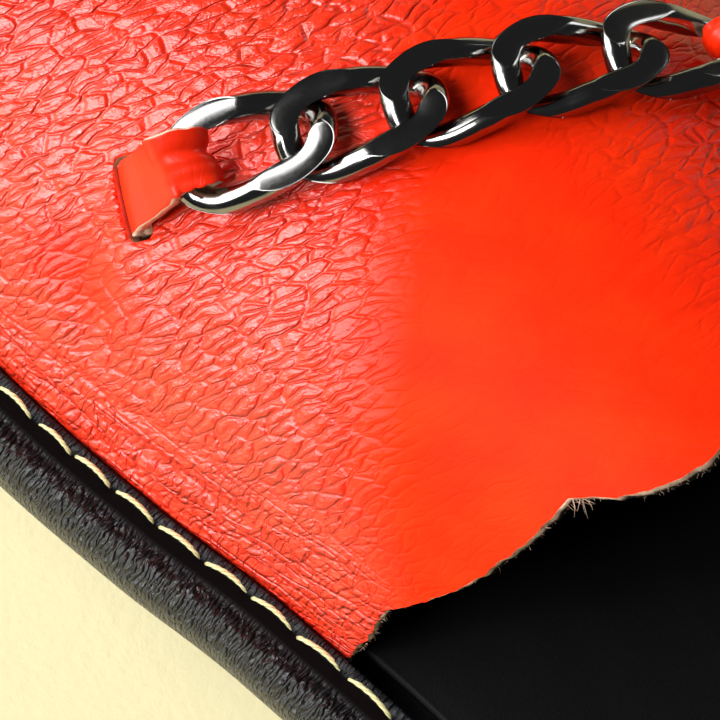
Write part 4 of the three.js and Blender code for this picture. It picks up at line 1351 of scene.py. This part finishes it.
def strip_faces(rows, columns, flip):
    """Faces of a strip with two skins of rows by columns points: top, bottom, and its four edges."""
    size = rows * columns
    top = grid_faces(rows, columns, 0, flip=flip)
    bottom = grid_faces(rows, columns, size, flip=not flip)
    r = np.arange(rows - 1)
    c = np.arange(columns - 1)
    sides = []
    for column, turned in ((0, flip), (columns - 1, not flip)):
        a = r * columns + column
        quad = np.stack([a, a + columns, a + columns + size, a + size], -1)
        sides.append(quad if turned else quad[:, ::-1])
    for row, turned in ((0, not flip), (rows - 1, flip)):
        a = row * columns + c
        quad = np.stack([a, a + 1, a + 1 + size, a + size], -1)
        sides.append(quad if turned else quad[:, ::-1])
    return [top, bottom, np.concatenate(sides)]


def chain_tab(name, from_slit, direction, number):
    """A tab: a strip whose cross section is carried along the smooth route of (out, up) over the end
    bar of a link, and gathers into pleats where it turns."""
    bar_length, bar_height, bar_lean = end_bar(number, direction)
    width = sizes().tab_width * 1000
    half = TAB_THICKNESS / 2
    path = open_curve(tab_route(abs(bar_length - from_slit), bar_height), TAB_POINTS)
    out, up, share, lean, pleat = path.T
    centre, along_chain, normal, side = chain_frame(from_slit + direction * out, up)
    lean = (lean * bar_lean)[:, None]
    side = side * np.cos(lean) + normal * np.sin(lean)
    run = unit(np.gradient(centre, axis=0))
    side = unit(side - run * (side * run).sum(1, keepdims=True))
    face = direction * np.cross(run, side)
    across = np.linspace(-1, 1, TAB_COLUMNS)
    ripple, lobe = tab_pleats(direction * across)
    lift = pleat[:, None] * ripple[None, :] - TAB_SAG * across[None, :] ** 2
    forward = (direction * pleat[:, None] * lobe[None, :])[..., None] * along_chain[:, None]
    reach_across = (width / 2 * share)[:, None] * across[None, :]
    at_edge = np.sign(across) * (np.abs(across) > 0.99)
    uneven = TAB_UNEVEN * hand_cut(len(path), TAB_SEED + number, 5)[:, None] * at_edge
    skins = [centre[:, None] + forward + side[:, None] * (reach_across + uneven)[..., None]
             + face[:, None] * (lift + level)[..., None] for level in (half, -half)]
    points = np.concatenate([s.reshape(-1, 3) for s in skins])
    faces = strip_faces(*lift.shape, direction < 0)
    run_length = lengths_along(centre)
    one_map = np.stack(np.broadcast_arrays(reach_across, run_length[:, None]), -1) / 100
    maps = np.concatenate([one_map.reshape(-1, 2)] * 2)
    uv = np.concatenate([maps[f].reshape(-1, 2) for f in faces])
    masks = {mask: np.full(len(points), value) for mask, value in TAB_MASKS.items()}
    finishes = [MATERIALS["red_leather"], MATERIALS["raw_leather"]]
    return build_piece(name, points, faces, finishes, (0, 1, 1), uv, masks)


# Rand and stitches
def rand_section():
    """The rand's section as (out, up): the flange, the channel, the roll and the return below."""
    top = FLANGE_HEIGHT
    channel = top - CHANNEL_DEPTH
    return np.array([
        (GAP, top - 1.4), (GAP, top - 0.5), (GAP + 0.3, top - 0.05), (GAP + 0.9, top + 0.05),
        (GAP + FLANGE_WIDTH - 0.2, top - 0.1), (GAP + FLANGE_WIDTH + 0.25, channel + 0.15),
        (GAP + FLANGE_WIDTH + 0.8, channel - 0.1), (ROLL_START - 0.9, channel - 0.45),
        (ROLL_START - 0.2, channel - 0.7), (ROLL_START + 0.3, channel - 0.45),
        (ROLL_START + 1.2, channel), (RAND_EDGE - 2.4, channel - 0.1),
        (RAND_EDGE - 1.2, channel - 0.9), (RAND_EDGE - 0.35, channel - 2.2),
        (RAND_EDGE, channel - 4.5), (RAND_EDGE - 0.1, channel - 6.6),
        (RAND_EDGE - 0.8, -RAND_DROP * 0.82),
        (RAND_EDGE - 1.4, -RAND_DROP * 0.95), (MIDSOLE_OVERHANG + GAP + 0.7, -RAND_DROP),
        (MIDSOLE_OVERHANG + GAP, -RAND_DROP + 0.4), (MIDSOLE_OVERHANG + GAP, -FOOTBED_THICKNESS - 0.8),
        (MIDSOLE_OVERHANG + GAP - 0.2, -FOOTBED_THICKNESS), (GAP + 0.6, -FOOTBED_THICKNESS),
        (GAP, -FOOTBED_THICKNESS + 0.6),
    ])


# Points round the rand and round its section
RAND_AROUND = 1300
RAND_POINTS = 56

# The rand's waves: how many, the lowest number of them round the edge and the step between, how they
# die down, their height, and their seed
WAVES = 60
WAVE_TURNS = (20, 7)
WAVE_FALL = (3, 0.35)
WAVE_HEIGHT = 0.14
WAVE_SEED = 3

# A stitch's dimple: depth and half width
DIMPLE_DEPTH = 0.35
DIMPLE_WIDTH = 0.7

# Where the stitches lie on the flange, where one of them starts along the edge, and how much of its
# pitch a stitch fills
STITCH_OUT = GAP + FLANGE_WIDTH - 0.15
STITCH_UP = 0.75
STITCH_START = 146.24
STITCH_FILL = 0.87

# Stitch pitch at shares of the edge's length, as the photograph grades it
STITCH_PITCH = (
    (0.0, 6.5), (0.225, 6.9), (0.25, 6.1), (0.275, 5.9), (0.305, 5.15), (0.5, 5.4), (0.8, 6.0),
    (1.0, 6.5),
)

# A stitch's rings and sides, the seed and spread of its place along, out and up, its bow sideways, how
# deep its ends dive, its thread's turns, and how much wider than high the thread is pressed
STITCH_RINGS = 22
STITCH_SIDES = 12
STITCH_SEED = 5
STITCH_SPREAD = (0.12, 0.07, 0.05)
STITCH_BOW = 0.22
STITCH_DIVE = 0.95
THREAD_TURNS = 1.9
THREAD_PRESSED = (1.08, 0.92)


def stitch_starts():
    """Arc lengths at which stitches start, and their pitches: the running sum of one over the pitch,
    in whole steps."""
    table = np.array(STITCH_PITCH)
    length = np.linspace(0, EDGE_LENGTH, 4001)
    pitch = np.interp(length / EDGE_LENGTH, table[:, 0], table[:, 1])
    count = np.concatenate([[0], np.cumsum(np.diff(length) / (pitch[1:] + pitch[:-1]) * 2)])
    whole = round(count[-1])
    count *= whole / count[-1]
    phase = np.interp(STITCH_START, length, count) % 1
    marks = np.arange(whole + 1) + phase
    around = np.interp(marks % whole, count, length)
    twice_count = np.concatenate([count, count[1:] + whole])
    twice_length = np.concatenate([length, length[1:] + EDGE_LENGTH])
    return around[:-1], np.diff(np.interp(marks, twice_count, twice_length))


def rand_waves(share):
    """Small waves along the rand: a sum of sines with seeded sizes and starts, the longest highest."""
    rng = np.random.default_rng(WAVE_SEED)
    wave = np.zeros(len(share))
    lowest, step = WAVE_TURNS
    first, fall = WAVE_FALL
    for k in range(WAVES):
        size = rng.normal()
        turn = 2 * np.pi * (lowest + step * k) * share + rng.uniform(0, 6.28)
        wave += size * np.sin(turn) / (first + fall * k)
    return wave * (WAVE_HEIGHT / wave.std())


def rand_leather_ring():
    """The rand: its section carried round the footbed's edge, with small waves and stitch dimples."""
    section = rand_section()
    even = catmull_rom(section, np.linspace(0, len(section), RAND_POINTS + 1)[:-1])
    share = np.arange(RAND_AROUND) / RAND_AROUND
    starts = stitch_starts()[0]
    run = share * EDGE_LENGTH
    gap = (run[:, None] - starts[None, :] + EDGE_LENGTH / 2) % EDGE_LENGTH - EDGE_LENGTH / 2
    gap = np.abs(gap).min(1)[:, None]
    wave = rand_waves(share)[:, None]
    out, up = even.T
    x, y = edge_at(share[:, None], out[None, :])
    dimple = DIMPLE_DEPTH * bell(gap, (0, DIMPLE_WIDTH)) * bell(out, (STITCH_OUT, DIMPLE_WIDTH))
    roll = smooth_rise((out - ROLL_START) / 1.5) * (up > -RAND_DROP + 1)
    z = edge_level(x) + up - dimple + 0.5 * wave * roll * (up > -3)
    points = np.stack([x, y, z], -1).reshape(-1, 3)
    section_run = lengths_along(np.vstack([even, even[:1]]))
    k = np.arange(RAND_POINTS)[None, :]
    u = np.stack([section_run[k], section_run[k], section_run[k + 1], section_run[k + 1]], -1)
    v = run[:, None, None] + np.array([0, 1, 1, 0]) * EDGE_LENGTH / RAND_AROUND
    uv = np.stack(np.broadcast_arrays(u, v), -1).reshape(-1, 2) / 100
    on_flange = ((out < GAP + FLANGE_WIDTH) & (up > -1)).astype(float)
    size = (RAND_AROUND, RAND_POINTS)
    masks = {
        "pebbled": np.broadcast_to(smooth_rise((out - ROLL_START + 0.9) / 0.9), size),
        "ridged": np.broadcast_to(on_flange, size),
    }
    quads = ring_faces(*size).reshape(-1, 4)
    return build_piece("rand_ring", points, [quads], [MATERIALS["rand_leather"]], None, uv, masks)


def rand_stitches():
    """One closed thread for each stitch: a three ply twist whose ends dive into their holes."""
    starts, pitches = stitch_starts()
    rings, sides = STITCH_RINGS, STITCH_SIDES
    t = np.linspace(0, 1, rings)
    theta = np.linspace(0, 2 * np.pi, sides, endpoint=False)
    jitter = np.random.default_rng(STITCH_SEED).normal(size=(len(starts), 3)) * STITCH_SPREAD
    run = starts[:, None] + (pitches * (1 - STITCH_FILL) / 2)[:, None]
    run = run + t[None, :] * (pitches * STITCH_FILL)[:, None] + jitter[:, :1]
    bow = np.sin(np.pi * t)
    out = STITCH_OUT + STITCH_BOW * (0.5 - bow) + jitter[:, 1:2] * (2 * t - 1)
    up = STITCH_UP - STITCH_DIVE * (1 - bow ** 0.5) + jitter[:, 2:3]
    x, y = edge_at(run / EDGE_LENGTH, out)
    centre = np.stack([x, y, edge_level(x) + up], -1)
    tangent = unit(np.gradient(centre, axis=1))
    outward = unit(np.cross(tangent, (0, 0, 1)))
    upward = np.cross(outward, tangent)
    radius = sizes().thread_width * 500
    twist = 2 * np.pi * THREAD_TURNS * t[None, :, None]
    lobe = np.abs(np.cos(1.5 * (theta[None, None, :] - twist)))
    swell = radius * (0.80 + 0.26 * lobe) * (1 - 0.25 * (2 * t[None, :, None] - 1) ** 6)
    wide, high = THREAD_PRESSED
    ring = (centre[:, :, None] + outward[:, :, None] * (swell * np.cos(theta))[..., None] * wide
            + upward[:, :, None] * (swell * np.sin(theta))[..., None] * high)
    count = len(starts)
    points = np.concatenate([ring.reshape(-1, 3), centre[:, 0], centre[:, -1]])
    a = (np.arange(count)[:, None, None] * rings + np.arange(rings - 1)[None, :, None]) * sides
    k = np.arange(sides)[None, None, :]
    n = (k + 1) % sides
    quads = np.stack([a + k, a + sides + k, a + sides + n, a + n], -1).reshape(-1, 4)
    first = (np.arange(count)[:, None] * rings) * sides
    last = first + (rings - 1) * sides
    k, n = k[0], n[0]
    cap = len(ring.reshape(-1, 3)) + np.arange(count)[:, None]
    caps = np.concatenate([
        np.stack(np.broadcast_arrays(cap, first + k, first + n), -1).reshape(-1, 3),
        np.stack(np.broadcast_arrays(cap + count, last + n, last + k), -1).reshape(-1, 3),
    ])
    # Masks of painted shade on the thread: the ply lobes, and how close each ring is to an end
    ply = np.concatenate([np.broadcast_to(lobe, (count, rings, sides)).ravel(), np.zeros(2 * count)])
    end_shade = np.abs(2 * t - 1) ** 8
    end = np.concatenate([np.broadcast_to(end_shade[None, :, None], (count, rings, sides)).ravel(),
                          np.ones(2 * count)])
    return build_piece("rand_stitches", points, [quads, caps], [MATERIALS["twisted_thread"]],
                       masks={"ply": ply, "end": end})


# Footbed and sole
def plate(name, finish, stations, columns, bottom, top, edge_rows, rounding=0.0):
    """A plate over the footbed's plan: rows from back to front and columns from the lateral to the
    medial side. bottom and top each give (outward, level), level from x and the share across; the
    side wall between them has edge_rows more rows, bulged outward by rounding."""
    layers = []
    for outward, level in (bottom, top):
        mx, my, lx, ly = sides_of(outward)
        back, front = mx[0], mx[-1]
        x = back + (front - back) * stations
        medial = np.interp(x, mx, my)
        lateral = np.interp(x, lx, ly)
        across = np.sin(np.linspace(-1, 1, columns) * np.pi / 2)
        share = (across + 1) / 2
        y = lateral[:, None] + (medial - lateral)[:, None] * share
        grid_x = np.broadcast_to(x[:, None], y.shape)
        layers.append(np.stack([grid_x, y, level(grid_x, across[None, :])], -1))
    rows = len(stations)
    size = rows * columns
    low, high = layers
    r, c = np.arange(rows), np.arange(columns)
    rim = np.concatenate([r * columns, (rows - 1) * columns + c[1:], r[::-1][1:] * columns + columns - 1,
                          c[::-1][1:-1]])
    low_rim, high_rim = low.reshape(-1, 3)[rim], high.reshape(-1, 3)[rim]
    run = unit(np.roll(high_rim, -1, axis=0) - np.roll(high_rim, 1, axis=0))
    outward = unit(np.cross((0, 0, 1), run)) * (1, 1, 0)
    share = (np.arange(1, edge_rows + 1) / (edge_rows + 1))[:, None, None]
    wall = low_rim * (1 - share) + high_rim * share + outward * rounding * np.sin(np.pi * share) ** 0.6
    points = np.concatenate([low.reshape(-1, 3), high.reshape(-1, 3), wall.reshape(-1, 3)])
    count = len(rim)
    ladder = np.vstack([rim, 2 * size + np.arange(edge_rows * count).reshape(edge_rows, count), rim + size])
    quads = np.stack([ladder[:-1], ladder[1:], np.roll(ladder[1:], -1, 1), np.roll(ladder[:-1], -1, 1)], -1)
    faces = [grid_faces(rows, columns, 0, flip=True), grid_faces(rows, columns, size), quads.reshape(-1, 4)[:, ::-1]]
    return build_piece(name, points, faces, [finish])


def crowded(count):
    """Stations from 0 to 1 crowded at both ends: half of one minus a cosine."""
    return (1 - np.cos(np.pi * np.linspace(0.006, 0.994, count))) / 2


def footbed_inset(x, medial):
    """The footbed's edge steps back by the vamp's wall where the vamp stands beside it."""
    corner = np.where(medial, THROAT_MEDIAL, THROAT_LATERAL) * FOOTBED_LENGTH
    station = 10.8
    return -GAP - (UPPER_WALL + GAP) * smooth_rise((x - corner + 2 * station) / station)


def footbed_top(x, across):
    """Top of the footbed: cupped at the heel, raised at the arch, a little hollow at the forepart,
    with its edge turned down."""
    share = x / FOOTBED_LENGTH
    heel = 1 - smooth_rise((share - 0.15) / 0.3)
    arch = np.sin(np.pi * np.clip((share - 0.25) / 0.35, 0, 1)) ** 2
    dip = FOREPART_DIP + (HEEL_CUP_DEPTH - FOREPART_DIP) * heel
    middle = 1 - np.abs(across) ** 3
    turned = 0.5 * smooth_rise((np.abs(across) - 0.94) / 0.06)
    return edge_level(x) - dip * middle + ARCH_RISE * arch * np.maximum(0, across) * middle - turned


def suede_footbed():
    """The footbed, a cupped suede covered plate."""
    return plate("suede_footbed", MATERIALS["black_suede"], crowded(150), 61,
                 (footbed_inset, lambda x, across: edge_level(x) - FOOTBED_THICKNESS + 0 * across),
                 (footbed_inset, footbed_top), 3)


def wedge_midsole():
    """The wedge between the outsole and the footbed."""
    return plate("wedge_midsole", MATERIALS["sole_foam"], crowded(150), 21,
                 (MIDSOLE_OVERHANG, lambda x, across: ground_level(x) + OUTSOLE_THICKNESS + 0.1 + 0 * across),
                 (MIDSOLE_OVERHANG, lambda x, across: edge_level(x) - FOOTBED_THICKNESS - GAP + 0 * across), 5, 0.25)


TREAD = ((0.05, 0.26, 4), (0.53, 0.93, 8))


def tread_outsole():
    """The outsole: grooves cross its underside between the lugs, with steep sides."""
    places = np.concatenate([np.linspace(start, end, count) * FOOTBED_LENGTH for start, end, count in TREAD])
    mx = sides_of(OUTSOLE_OVERHANG - 0.6)[0]
    back, front = mx[0], mx[-1]
    half = GROOVE_WIDTH / 2
    sides = np.concatenate([places + edge for edge in (-half, 0.15 - half, half - 0.15, half)])
    stations = np.unique(np.concatenate([crowded(130), (sides - back) / (front - back)]))

    def underside(x, across):
        gap = np.abs(x[..., None] - places).min(-1)
        groove = 1 - smooth_rise((gap - half + 0.15) / 0.15)
        return (ground_level(x) + GROOVE_DEPTH * groove) * np.ones_like(across)

    def top(x, across):
        return (ground_level(x) + OUTSOLE_THICKNESS) * np.ones_like(across)

    return plate("tread_outsole", MATERIALS["sole_rubber"], stations, 31,
                 (OUTSOLE_OVERHANG - 0.6, underside),
                 (OUTSOLE_OVERHANG, top), 4, 0.3)


# Loose fibres of the cut edge
def edge_fibres():
    """Short curved hairs along the throat's cut edge, each a three sided spike on a bent line, and a
    longer tuft at the notch between the second and third scallop."""
    across, bulge = throat_columns()
    rng = np.random.default_rng(12)
    count = 460
    spot = rng.uniform(0.01, 0.99, count) * (len(across) - 1)
    tuft = 14
    notch = np.interp(SCALLOPS[1][0], across, np.arange(len(across)))
    spot = np.concatenate([spot, notch + rng.uniform(-1.5, 2.5, tuft)])
    places = np.arange(len(across))
    c = np.interp(spot, places, across)
    scale = throat_scale(c)
    a = -np.interp(spot, places, bulge) / scale
    skin = vamp_at(a, c)
    normal = vamp_normal(a, c)
    heel = unit(vamp_at(a - 0.01, c) - skin)
    aside = np.cross(normal, heel)
    depth = rng.uniform(0.15, 1.0, len(spot)) * UPPER_WALL
    depth[-tuft:] *= 0.6
    base = skin - normal * depth[:, None] + heel * 0.05
    long = rng.gamma(2.0, 0.09, len(spot)) + 0.06
    long[-tuft:] = rng.uniform(0.9, 2.0, tuft)
    swing = rng.normal(0, 0.7, len(spot))
    droop = rng.uniform(-0.7, 0.25, len(spot))
    heading = unit(heel + aside * swing[:, None] + normal * droop[:, None])
    bend = rng.normal(0, 0.5, (len(spot), 2))
    t = np.linspace(0, 1, 5)[None, :, None]
    curve = (base[:, None] + heading[:, None] * t * long[:, None, None]
             + (aside[:, None] * bend[:, None, :1] + normal[:, None] * bend[:, None, 1:]) * t**2
             * long[:, None, None] * 0.6)
    thick = rng.uniform(0.03, 0.055, len(spot))[:, None] * (1 - 0.85 * t[0, :, 0])[None, :]
    theta = np.arange(3) * 2 * np.pi / 3
    u = unit(np.cross(heading, aside + 0.3 * normal))
    v = np.cross(heading, u)
    ring = (curve[:, :, None] + u[:, None, None] * (thick[..., None] * np.cos(theta))[..., None]
            + v[:, None, None] * (thick[..., None] * np.sin(theta))[..., None])
    n_fibre, rows = ring.shape[:2]
    start = (np.arange(n_fibre)[:, None, None] * rows + np.arange(rows - 1)[None, :, None]) * 3
    k = np.arange(3)[None, None]
    n = (k + 1) % 3
    quads = np.stack([start + k, start + n, start + 3 + n, start + 3 + k], -1).reshape(-1, 4)
    first = np.arange(n_fibre)[:, None] * rows * 3
    caps = np.concatenate([first + np.array([2, 1, 0]), first + (rows - 1) * 3 + np.array([0, 1, 2])])
    return build_piece("edge_fibres", ring.reshape(-1, 3), [quads, caps], [MATERIALS["raw_leather"]])


MATERIALS = {}


def make_materials():
    """Makes every finish once, after the classes with its colours are registered."""
    MATERIALS.update(
        red_leather=red_leather(),
        raw_leather=raw_leather(),
        cut_edge=cut_edge(),
        lining=lining(),
        rand_leather=rand_leather(),
        black_suede=black_suede(),
        sole_foam=sole_finish("sole_foam", 0.75, 900),
        sole_rubber=sole_finish("sole_rubber", 0.6, 1500),
        twisted_thread=twisted_thread(),
        gunmetal=gunmetal(),
    )


def settle(piece, slot, *nodes):
    """Fixes a piece to the slipper in place of its CAD nodes, which it hides. The slot is not used."""
    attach(piece, "root")
    if nodes:
        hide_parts(*nodes)


# Stage. The floor's half width in millimetres and its points along a side, where the lights look, in
# metres, and each light: name, direction, distance, width, height in metres and power in watts
FLOOR_REACH = 1400
FLOOR_POINTS = 41
LIT_POINT = (0.02, 0.0, 0.04)
LIGHTS = (
    ("window", (0.66, 0.60, 0.45), 0.8, 0.84, 0.72, 11.0),
    ("overhead", (0.1, 0.6, 0.79), 1.0, 0.35, 0.35, 6.5),
    ("rim", (0.15, -0.95, 0.28), 1.0, 0.4, 0.3, 1.2),
)
WORLD_COLOUR = (0.75, 0.78, 0.82, 1)
WORLD_STRENGTH = 0.05
SENSOR_WIDTH = 36.0


def camera_axes():
    """The camera's right, up and back directions at the photograph's azimuth and elevation."""
    a, e = math.radians(AZIMUTH), math.radians(ELEVATION)
    back = np.array([math.sin(a) * math.cos(e), -math.cos(a) * math.cos(e), math.sin(e)])
    right = np.array([math.cos(a), math.sin(a), 0.0])
    return right, np.cross(back, right), back


def camera_place():
    """Where the camera stands, so that the throat's medial corner falls on its pixel."""
    right, up, back = camera_axes()
    corner = MEDIAL_FOOT.at(np.array(0.0))
    across = (CORNER_PIXEL[0] - FRAME_PIXELS / 2) / PIXELS_PER_MM
    down = (CORNER_PIXEL[1] - FRAME_PIXELS / 2) / PIXELS_PER_MM
    return corner - right * across + up * down + back * DISTANCE + SHIFT


def add_camera():
    """A camera with a lens that gives the photograph's pixels to a millimetre."""
    right, up, back = camera_axes()
    lens = bpy.data.cameras.new("camera")
    lens.sensor_width = SENSOR_WIDTH
    lens.lens = PIXELS_PER_MM * DISTANCE / FRAME_PIXELS * lens.sensor_width
    lens.clip_start, lens.clip_end = 0.01, 20
    camera = bpy.data.objects.new("camera", lens)
    bpy.context.scene.collection.objects.link(camera)
    axes = Matrix([Vector(right), Vector(up), Vector(back)]).transposed().to_4x4()
    axes.translation = Vector(camera_place() / 1000)
    camera.matrix_world = axes
    bpy.context.scene.camera = camera


def add_light(name, direction, distance, width, height, power):
    """A soft box that looks at the vamp from a direction."""
    lamp = bpy.data.lights.new(name, "AREA")
    lamp.shape = "RECTANGLE"
    lamp.size, lamp.size_y = width, height
    lamp.energy = power
    light = bpy.data.objects.new(name, lamp)
    bpy.context.scene.collection.objects.link(light)
    way = Vector(direction).normalized()
    light.location = Vector(LIT_POINT) + way * distance
    light.rotation_mode = "QUATERNION"
    light.rotation_quaternion = way.to_track_quat("Z", "Y")


def add_floor():
    """A wide, flat, pale floor under the slipper."""
    finish = Finish("pale_floor")
    place = finish.object_place()
    fleck = finish.noise(place, 700, 3.0, 0.6)
    cloud = finish.noise(place, 9, 2.0)
    base = colour_of("floor")
    patched = finish.eased(cloud, 0.35, 0.7) * 0.5 + fleck * 0.25
    color = finish.mixed(patched, base, tinted(base, 0.93, 0.92, 0.86))
    material = finish.surface(0.6, color, finish.bump(fleck, RELIEF["floor"]), Specular_IOR_Level=0.3)
    across = np.linspace(-FLOOR_REACH, FLOOR_REACH, FLOOR_POINTS)
    grid_x, grid_y = np.meshgrid(across, across, indexing="ij")
    points = np.stack([grid_x, grid_y, np.zeros_like(grid_x)], -1).reshape(-1, 3) - SHIFT * (1, 1, 0)
    floor = build_piece("floor", points, [grid_faces(FLOOR_POINTS, FLOOR_POINTS)], [material])


class SLIPPER_OT_stage(bpy.types.Operator):
    """Adds the camera at the photograph's angle, soft lights and a pale floor"""

    bl_idname = "slipper.stage"
    bl_label = "Stage"

    def execute(self, context):
        add_camera()
        add_floor()
        for light in LIGHTS:
            add_light(*light)
        scene = context.scene
        scene.view_settings.view_transform = "Standard"
        world = bpy.data.worlds.new("studio")
        world.use_nodes = True
        background = world.node_tree.nodes["Background"]
        background.inputs["Color"].default_value = WORLD_COLOUR
        background.inputs["Strength"].default_value = WORLD_STRENGTH
        scene.world = world
        return {"FINISHED"}


class SLIPPER_OT_vamp(bpy.types.Operator):
    """Builds the grained vamp with its slits and the fibres of its cut edge"""

    bl_idname = "slipper.vamp"
    bl_label = "Vamp"

    def execute(self, context):
        vamp = vamp_leather()
        cut_slit(vamp, 0.0, 1)
        cut_slit(vamp, CHAIN_SPAN, -1)
        settle(vamp, "red_leather", "upper")
        settle(edge_fibres(), "red_leather")
        return {"FINISHED"}


class SLIPPER_OT_chain(bpy.types.Operator):
    """Builds the curb chain's links and the two tabs that hold it"""

    bl_idname = "slipper.chain"
    bl_label = "Chain and tabs"

    def execute(self, context):
        shape, quads = link_shape()
        for number in range(LINK_COUNT):
            centre, axes = link_frame(number)
            link = build_piece(f"curb_link_{number + 1:02d}", centre + shape @ axes, [quads],
                               [MATERIALS["gunmetal"]])
            settle(link, "gunmetal", f"chain_link_{number + 1:02d}")
        settle(chain_tab("tab_strip_medial", 0.0, 1, 0), "red_leather", "tab_medial")
        lateral = chain_tab("tab_strip_lateral", CHAIN_SPAN, -1, LINK_COUNT - 1)
        settle(lateral, "red_leather", "tab_lateral")
        return {"FINISHED"}


class SLIPPER_OT_rand(bpy.types.Operator):
    """Builds the rand and its stitches"""

    bl_idname = "slipper.rand"
    bl_label = "Rand and stitches"

    def execute(self, context):
        settle(rand_leather_ring(), "black_leather", "rand")
        settle(rand_stitches(), "black_leather")
        return {"FINISHED"}


class SLIPPER_OT_sole(bpy.types.Operator):
    """Builds the suede footbed, the wedge and the treaded outsole"""

    bl_idname = "slipper.sole"
    bl_label = "Footbed and sole"

    def execute(self, context):
        settle(suede_footbed(), "black_suede", "insole")
        settle(wedge_midsole(), "wedge_foam", "midsole")
        settle(tread_outsole(), "sole_rubber", "outsole")
        return {"FINISHED"}


class SLIPPER_PT_sidebar(bpy.types.Panel):
    """Sizes, colours and building steps of the slipper"""

    bl_idname = "SLIPPER_PT_sidebar"
    bl_label = "House slipper"
    bl_space_type = "VIEW_3D"
    bl_region_type = "UI"
    bl_category = "Slipper"

    def draw(self, context):
        layout = self.layout
        for group in (context.scene.slipper_sizes, context.scene.slipper_colours):
            box = layout.box()
            for name in group.__annotations__:
                box.prop(group, name)
        for operator in OPERATORS:
            layout.operator(operator.bl_idname)


OPERATORS = (SLIPPER_OT_stage, SLIPPER_OT_vamp, SLIPPER_OT_chain, SLIPPER_OT_rand, SLIPPER_OT_sole)
CLASSES = (SlipperSizes, SlipperColours, *OPERATORS, SLIPPER_PT_sidebar)


def register():
    for cls in CLASSES:
        bpy.utils.register_class(cls)
    bpy.types.Scene.slipper_sizes = bpy.props.PointerProperty(type=SlipperSizes)
    bpy.types.Scene.slipper_colours = bpy.props.PointerProperty(type=SlipperColours)


def unregister():
    del bpy.types.Scene.slipper_sizes
    del bpy.types.Scene.slipper_colours
    for cls in reversed(CLASSES):
        bpy.utils.unregister_class(cls)


def main():
    register()
    make_materials()
    bpy.ops.slipper.stage()
    bpy.ops.slipper.vamp()
    bpy.ops.slipper.chain()
    bpy.ops.slipper.rand()
    bpy.ops.slipper.sole()


if __name__ == "__main__":
    main()
